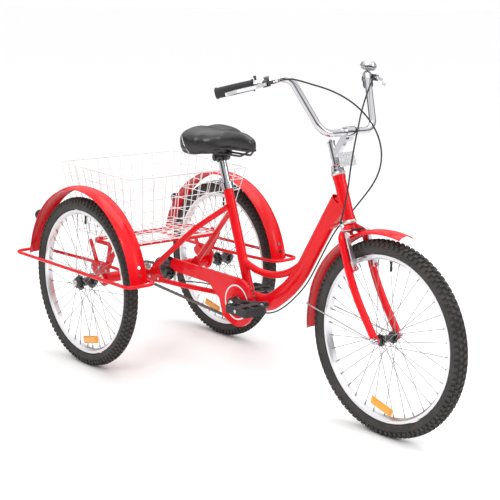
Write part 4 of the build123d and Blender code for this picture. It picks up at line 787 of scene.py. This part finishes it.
def front_brake_details():
    """Chrome noodle, bellows boot and the wire that pulls the two arms together."""
    noodle = as_mesh(nurbs_curve("brake_noodle", NOODLE_ROUTE, NOODLE_R))
    place(noodle, "steering", chrome)
    start = Vector(NOODLE_ROUTE[-1])
    profile = [(0, 0), (0, 0.0034)]
    for k in range(BOOT_PLEATS):
        profile += [(0.004 + PLEAT_PITCH * k, 0.0042), (0.0065 + PLEAT_PITCH * k, 0.0033)]
    profile += [(BOOT_LENGTH, 0.0026), (BOOT_LENGTH, 0)]
    place(turned_piece("brake_boot", start, (0, 1, 0), profile, 24, 70.0), "steering", black_rubber)
    wire_profile = [(0, 0), (0, BRAKE_WIRE_R), (BRAKE_WIRE_LENGTH, BRAKE_WIRE_R), (BRAKE_WIRE_LENGTH, 0)]
    wire = turned_piece("brake_wire", start + Vector((0, BRAKE_WIRE_FROM, 0)), (0, 1, 0), wire_profile, 12)
    place(wire, "steering", zinc)


front_brake_details()


def pivot_bolt(joint, label):
    """Chrome bolt with a round socket on a brake arm's pivot."""
    pivot = Vector(joints[joint]["pos_m"])
    profile = [(0, 0), (0, 0.0064), (0.0016, 0.0064), (0.0018, 0.0052), (0.0062, 0.0052), (0.0070, 0.0044),
               (0.0070, 0.0024), (0.0040, 0.0024), (0.0040, 0)]
    foot = pivot + FORK_AHEAD * PIVOT_BOLT_LIFT
    place(turned_piece(f"brake_pivot_bolt_{label}", foot, FORK_AHEAD, profile, 24), "steering", chrome)


pivot_bolt("left_arm_close", "left")
pivot_bolt("right_arm_close", "right")


# ---------------------------------------------------------------- rear reflectors
def rear_reflector_lenses():
    """Round red lens on the back of each reflector."""
    low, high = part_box("rear_reflectors")
    radius = (high.z - low.z) / 2
    for side, label in ((-1, "right"), (1, "left")):
        centre = Vector((low.x, side * (high.y - radius), (low.z + high.z) / 2))
        profile = [(0, 0), (0, radius - 0.002), (0.0012, radius - 0.0022), (0.0026, radius - 0.0060),
                   (0.0030, 0)]
        lens = turned_piece(f"rear_reflector_lens_{label}", centre, (-1, 0, 0), profile, 48)
        place(lens, "frame", red_lens)


rear_reflector_lenses()


# ---------------------------------------------------------------- saddle
SADDLE_HALF = [(0.012, 0.010), (0.004, 0.019), (-0.045, 0.027), (-0.085, 0.034), (-0.115, 0.048),
               (-0.150, 0.084), (-0.180, 0.114), (-0.208, 0.126), (-0.245, 0.123), (-0.262, 0.106),
               (-0.272, 0.078)]
SADDLE_TOP = [(0.012, 0.838), (0.000, 0.853), (-0.036, 0.864), (-0.100, 0.862), (-0.150, 0.863),
              (-0.200, 0.870), (-0.240, 0.874), (-0.272, 0.866)]
SADDLE_LOW = [(0.012, 0.806), (-0.030, 0.804), (-0.070, 0.809), (-0.100, 0.806), (-0.150, 0.787),
              (-0.200, 0.780), (-0.272, 0.783)]
SADDLE_UNDER = 0.8125
SADDLE_SKIN = 0.003
STATIONS = 46
BELT_SHARE = 0.45
WALL_MOST = 0.026
WALL_SHARE = 0.45
CROWN_STEPS = 14
CROWN_SIDE_POWER = 0.86
CROWN_TOP_POWER = 0.66
VALLEY_DEPTH = 0.006
VALLEY_WIDTH = 0.024
SKIRT_STEPS = 6
SKIRT_TUCK = 0.014
VOXEL = 0.005
AIR_PRESSURE = 4.0
SWELL_MOST = 0.006
CLOTH_FRAMES = 20
EDGE_PIPING_R = 0.0021
SIDE_PIPING_R = 0.0018
PIPING_LIFT = 0.0003


def interpolate(table, x):
    """Smooth value of a table of (x, value) pairs with falling x."""
    for (x_a, a), (x_b, b) in zip(table, table[1:]):
        if x >= x_b:
            t = max(0.0, min(1.0, (x - x_a) / (x_b - x_a)))
            return a + (b - a) * (0.6 * t + 0.4 * t * t * (3 - 2 * t))
    return table[-1][1]


def saddle_section(x):
    """Half of the pad's cross-section, from the middle of its top down the side and back under it."""
    half = interpolate(SADDLE_HALF, x) - SADDLE_SKIN
    top = interpolate(SADDLE_TOP, x) - SADDLE_SKIN
    low = interpolate(SADDLE_LOW, x) + 0.001
    belt = low + BELT_SHARE * (top - low)
    wall = min(WALL_MOST, WALL_SHARE * half)
    under = SADDLE_UNDER if x > -0.252 else low + 0.002
    rear = max(0.0, min(1.0, (-0.13 - x) / 0.09))
    points = []
    for k in range(CROWN_STEPS + 1):
        a = radians(90 * k / CROWN_STEPS)
        y = half * sin(a) ** CROWN_SIDE_POWER
        z = belt + (top - belt) * cos(a) ** CROWN_TOP_POWER
        points.append((y, z - VALLEY_DEPTH * rear * exp(-(y / VALLEY_WIDTH) ** 2)))
    for k in range(1, SKIRT_STEPS + 1):
        t = k / SKIRT_STEPS
        points.append((half - SKIRT_TUCK * min(1.0, half / 0.08) * t * t, belt + (low - belt) * t))
    points.append((half - 0.6 * wall, low - 0.0005))
    points.append((half - wall, low + 0.003))
    points.append((half - 1.1 * wall, 0.5 * (low + under) + 0.002))
    points.append((half - 1.3 * wall, under))
    points.append((0.5 * (half - 1.3 * wall), under))
    points.append((0.0, under))
    return points


def saddle_shell():
    """Closed saddle form lofted from its cross-sections: a bulging pad whose skirt hides the base."""
    shape = bmesh.new()
    rings = []
    front, back = SADDLE_HALF[0][0], SADDLE_HALF[-1][0]
    for s in range(STATIONS + 1):
        x = front + (back - front) * s / STATIONS
        half = saddle_section(x)
        around = half + [(-y, z) for y, z in reversed(half[1:-1])]
        rings.append([shape.verts.new((x, y, z)) for y, z in around])
    for ring_a, ring_b in zip(rings, rings[1:]):
        for k in range(len(ring_a)):
            after = (k + 1) % len(ring_a)
            shape.faces.new([ring_a[k], ring_a[after], ring_b[after], ring_b[k]])
    shape.faces.new(rings[0][::-1])
    shape.faces.new(rings[-1])
    return from_bmesh("saddle_pad", shape)


def apply_modifiers(obj):
    """Replaces an object's mesh by its mesh with modifiers."""
    graph = bpy.context.evaluated_depsgraph_get()
    mesh = bpy.data.meshes.new_from_object(obj.evaluated_get(graph))
    obj.modifiers.clear()
    obj.data = mesh


def remesh(obj, size):
    """Voxel remesh, applied."""
    modifier = obj.modifiers.new("remesh", "REMESH")
    modifier.mode = "VOXEL"
    modifier.voxel_size = size
    apply_modifiers(obj)


def inflate(obj, pressure, cap):
    """Swells a closed mesh as a stuffed cloth skin; no point moves further than cap."""
    before = [vertex.co.copy() for vertex in obj.data.vertices]
    modifier = obj.modifiers.new("cloth", "CLOTH")
    settings = modifier.settings
    settings.use_pressure = True
    settings.uniform_pressure_force = pressure
    settings.quality = 6
    settings.mass = 0.3
    settings.tension_stiffness = 40
    settings.compression_stiffness = 40
    settings.bending_stiffness = 4
    settings.effector_weights.gravity = 0.0
    for step in range(1, CLOTH_FRAMES + 1):
        bpy.context.scene.frame_set(step)
    apply_modifiers(obj)
    bpy.context.scene.frame_set(1)
    for vertex, start in zip(obj.data.vertices, before):
        move = vertex.co - start
        if move.length > cap:
            vertex.co = start + move.normalized() * cap


def saddle():
    """Padded vinyl saddle: lofted, remeshed, swollen as cloth, then smoothed."""
    pad = saddle_shell()
    remesh(pad, VOXEL)
    inflate(pad, AIR_PRESSURE, SWELL_MOST)
    smoothing = pad.modifiers.new("smooth", "SMOOTH")
    smoothing.iterations = 4
    smoothing.factor = 0.5
    subdivision = pad.modifiers.new("subdivision", "SUBSURF")
    subdivision.levels = 1
    subdivision.render_levels = 1
    apply_modifiers(pad)
    pad.data.polygons.foreach_set("use_smooth", [True] * len(pad.data.polygons))
    place(pad, "seat", vinyl, ("saddle_cushion",))
    bpy.context.view_layer.update()
    return pad


def on_saddle(pad, point):
    """Nearest point of the saddle's skin, lifted just clear of it."""
    _, place_at, normal, _ = pad.closest_point_on_mesh(Vector(point))
    return place_at + normal * PIPING_LIFT


def saddle_trim(pad):
    """Piping round the skirt's lower edge, and a silver line down each rear corner."""
    edge = [(x, half, interpolate(SADDLE_LOW, x) + 0.004) for x, half in SADDLE_HALF]
    outline = edge + [(x, -half, z) for x, half, z in reversed(edge)]
    curve = nurbs_curve("saddle_edge_piping", [on_saddle(pad, p) for p in outline], EDGE_PIPING_R)
    curve.data.splines[0].use_endpoint_u = False
    curve.data.splines[0].use_cyclic_u = True
    place(as_mesh(curve), "seat", black_rubber)
    seam = [(-0.266, 0.060, 0.866), (-0.258, 0.086, 0.864), (-0.246, 0.108, 0.856), (-0.234, 0.121, 0.842),
            (-0.222, 0.126, 0.824), (-0.208, 0.127, 0.803), (-0.196, 0.124, 0.784)]
    for side, label in ((1, "left"), (-1, "right")):
        points = [on_saddle(pad, (x, side * y, z)) for x, y, z in seam]
        place(as_mesh(nurbs_curve(f"saddle_piping_{label}", points, SIDE_PIPING_R)), "seat", satin_alloy)


saddle_pad = saddle()
saddle_trim(saddle_pad)


# ---------------------------------------------------------------- floor and light
FLOOR_HALF = 300.0
BAND_LOW = 0.16
BAND_HIGH = 0.55
WORLD_STRENGTH = 1.22
LIGHT_AIM = Vector((0, 0, 0.5))
LIGHTS = (("key", (1.8, -3.0, 3.4), 1.6, 55.0), ("fill", (3.4, 1.6, 2.2), 1.6, 22.0),
          ("top", (-0.4, 0.6, 4.2), 3.0, 60.0))


def studio_world():
    """Surround that darkens towards the horizon for streaks in polished metal, and is plain white in view."""
    world = bpy.data.worlds.new("studio")
    world.use_nodes = True
    bpy.context.scene.world = world
    tree = world.node_tree
    background = tree.nodes["Background"]
    coords = tree.nodes.new("ShaderNodeTexCoord")
    split = tree.nodes.new("ShaderNodeSeparateXYZ")
    band = tree.nodes.new("ShaderNodeValToRGB")
    band.color_ramp.elements[0].position = BAND_LOW
    band.color_ramp.elements[0].color = (0.035, 0.033, 0.032, 1.0)
    band.color_ramp.elements[1].position = BAND_HIGH
    band.color_ramp.elements[1].color = (1.0, 1.0, 1.0, 1.0)
    tree.links.new(coords.outputs["Generated"], split.inputs[0])
    tree.links.new(split.outputs["Z"], band.inputs["Fac"])
    tree.links.new(band.outputs["Color"], background.inputs["Color"])
    background.inputs["Strength"].default_value = WORLD_STRENGTH
    seen = tree.nodes.new("ShaderNodeBackground")
    seen.inputs["Color"].default_value = (1.0, 1.0, 1.0, 1.0)
    choose = tree.nodes.new("ShaderNodeMixShader")
    rays = tree.nodes.new("ShaderNodeLightPath")
    tree.links.new(rays.outputs["Is Camera Ray"], choose.inputs["Fac"])
    tree.links.new(background.outputs["Background"], choose.inputs[1])
    tree.links.new(seen.outputs["Background"], choose.inputs[2])
    tree.links.new(choose.outputs["Shader"], tree.nodes["World Output"].inputs["Surface"])


def studio():
    """Pale floor, the surround, and three soft lights above the object."""
    shape = bmesh.new()
    bmesh.ops.create_grid(shape, x_segments=1, y_segments=1, size=FLOOR_HALF)
    floor = from_bmesh("floor", shape)
    paint = Paint("floor_paint", (0.86, 0.86, 0.86), 0.9)
    speckle = paint.texture("ShaderNodeTexNoise", 2.0, Detail=2.0)
    paint.colour_from(speckle.outputs["Fac"], 0.2, 0.8, (0.955, 0.955, 0.955), (0.97, 0.97, 0.97))
    floor.data.materials.append(paint.material)
    studio_world()
    for name, place_at, size, power in LIGHTS:
        light = bpy.data.lights.new(name, "AREA")
        light.size = size
        light.energy = power
        lamp = link(bpy.data.objects.new(name, light))
        lamp.location = place_at
        lamp.rotation_mode = "QUATERNION"
        lamp.rotation_quaternion = (LIGHT_AIM - Vector(place_at)).to_track_quat("-Z", "Y")
    bpy.context.scene.view_settings.view_transform = "Standard"


studio()
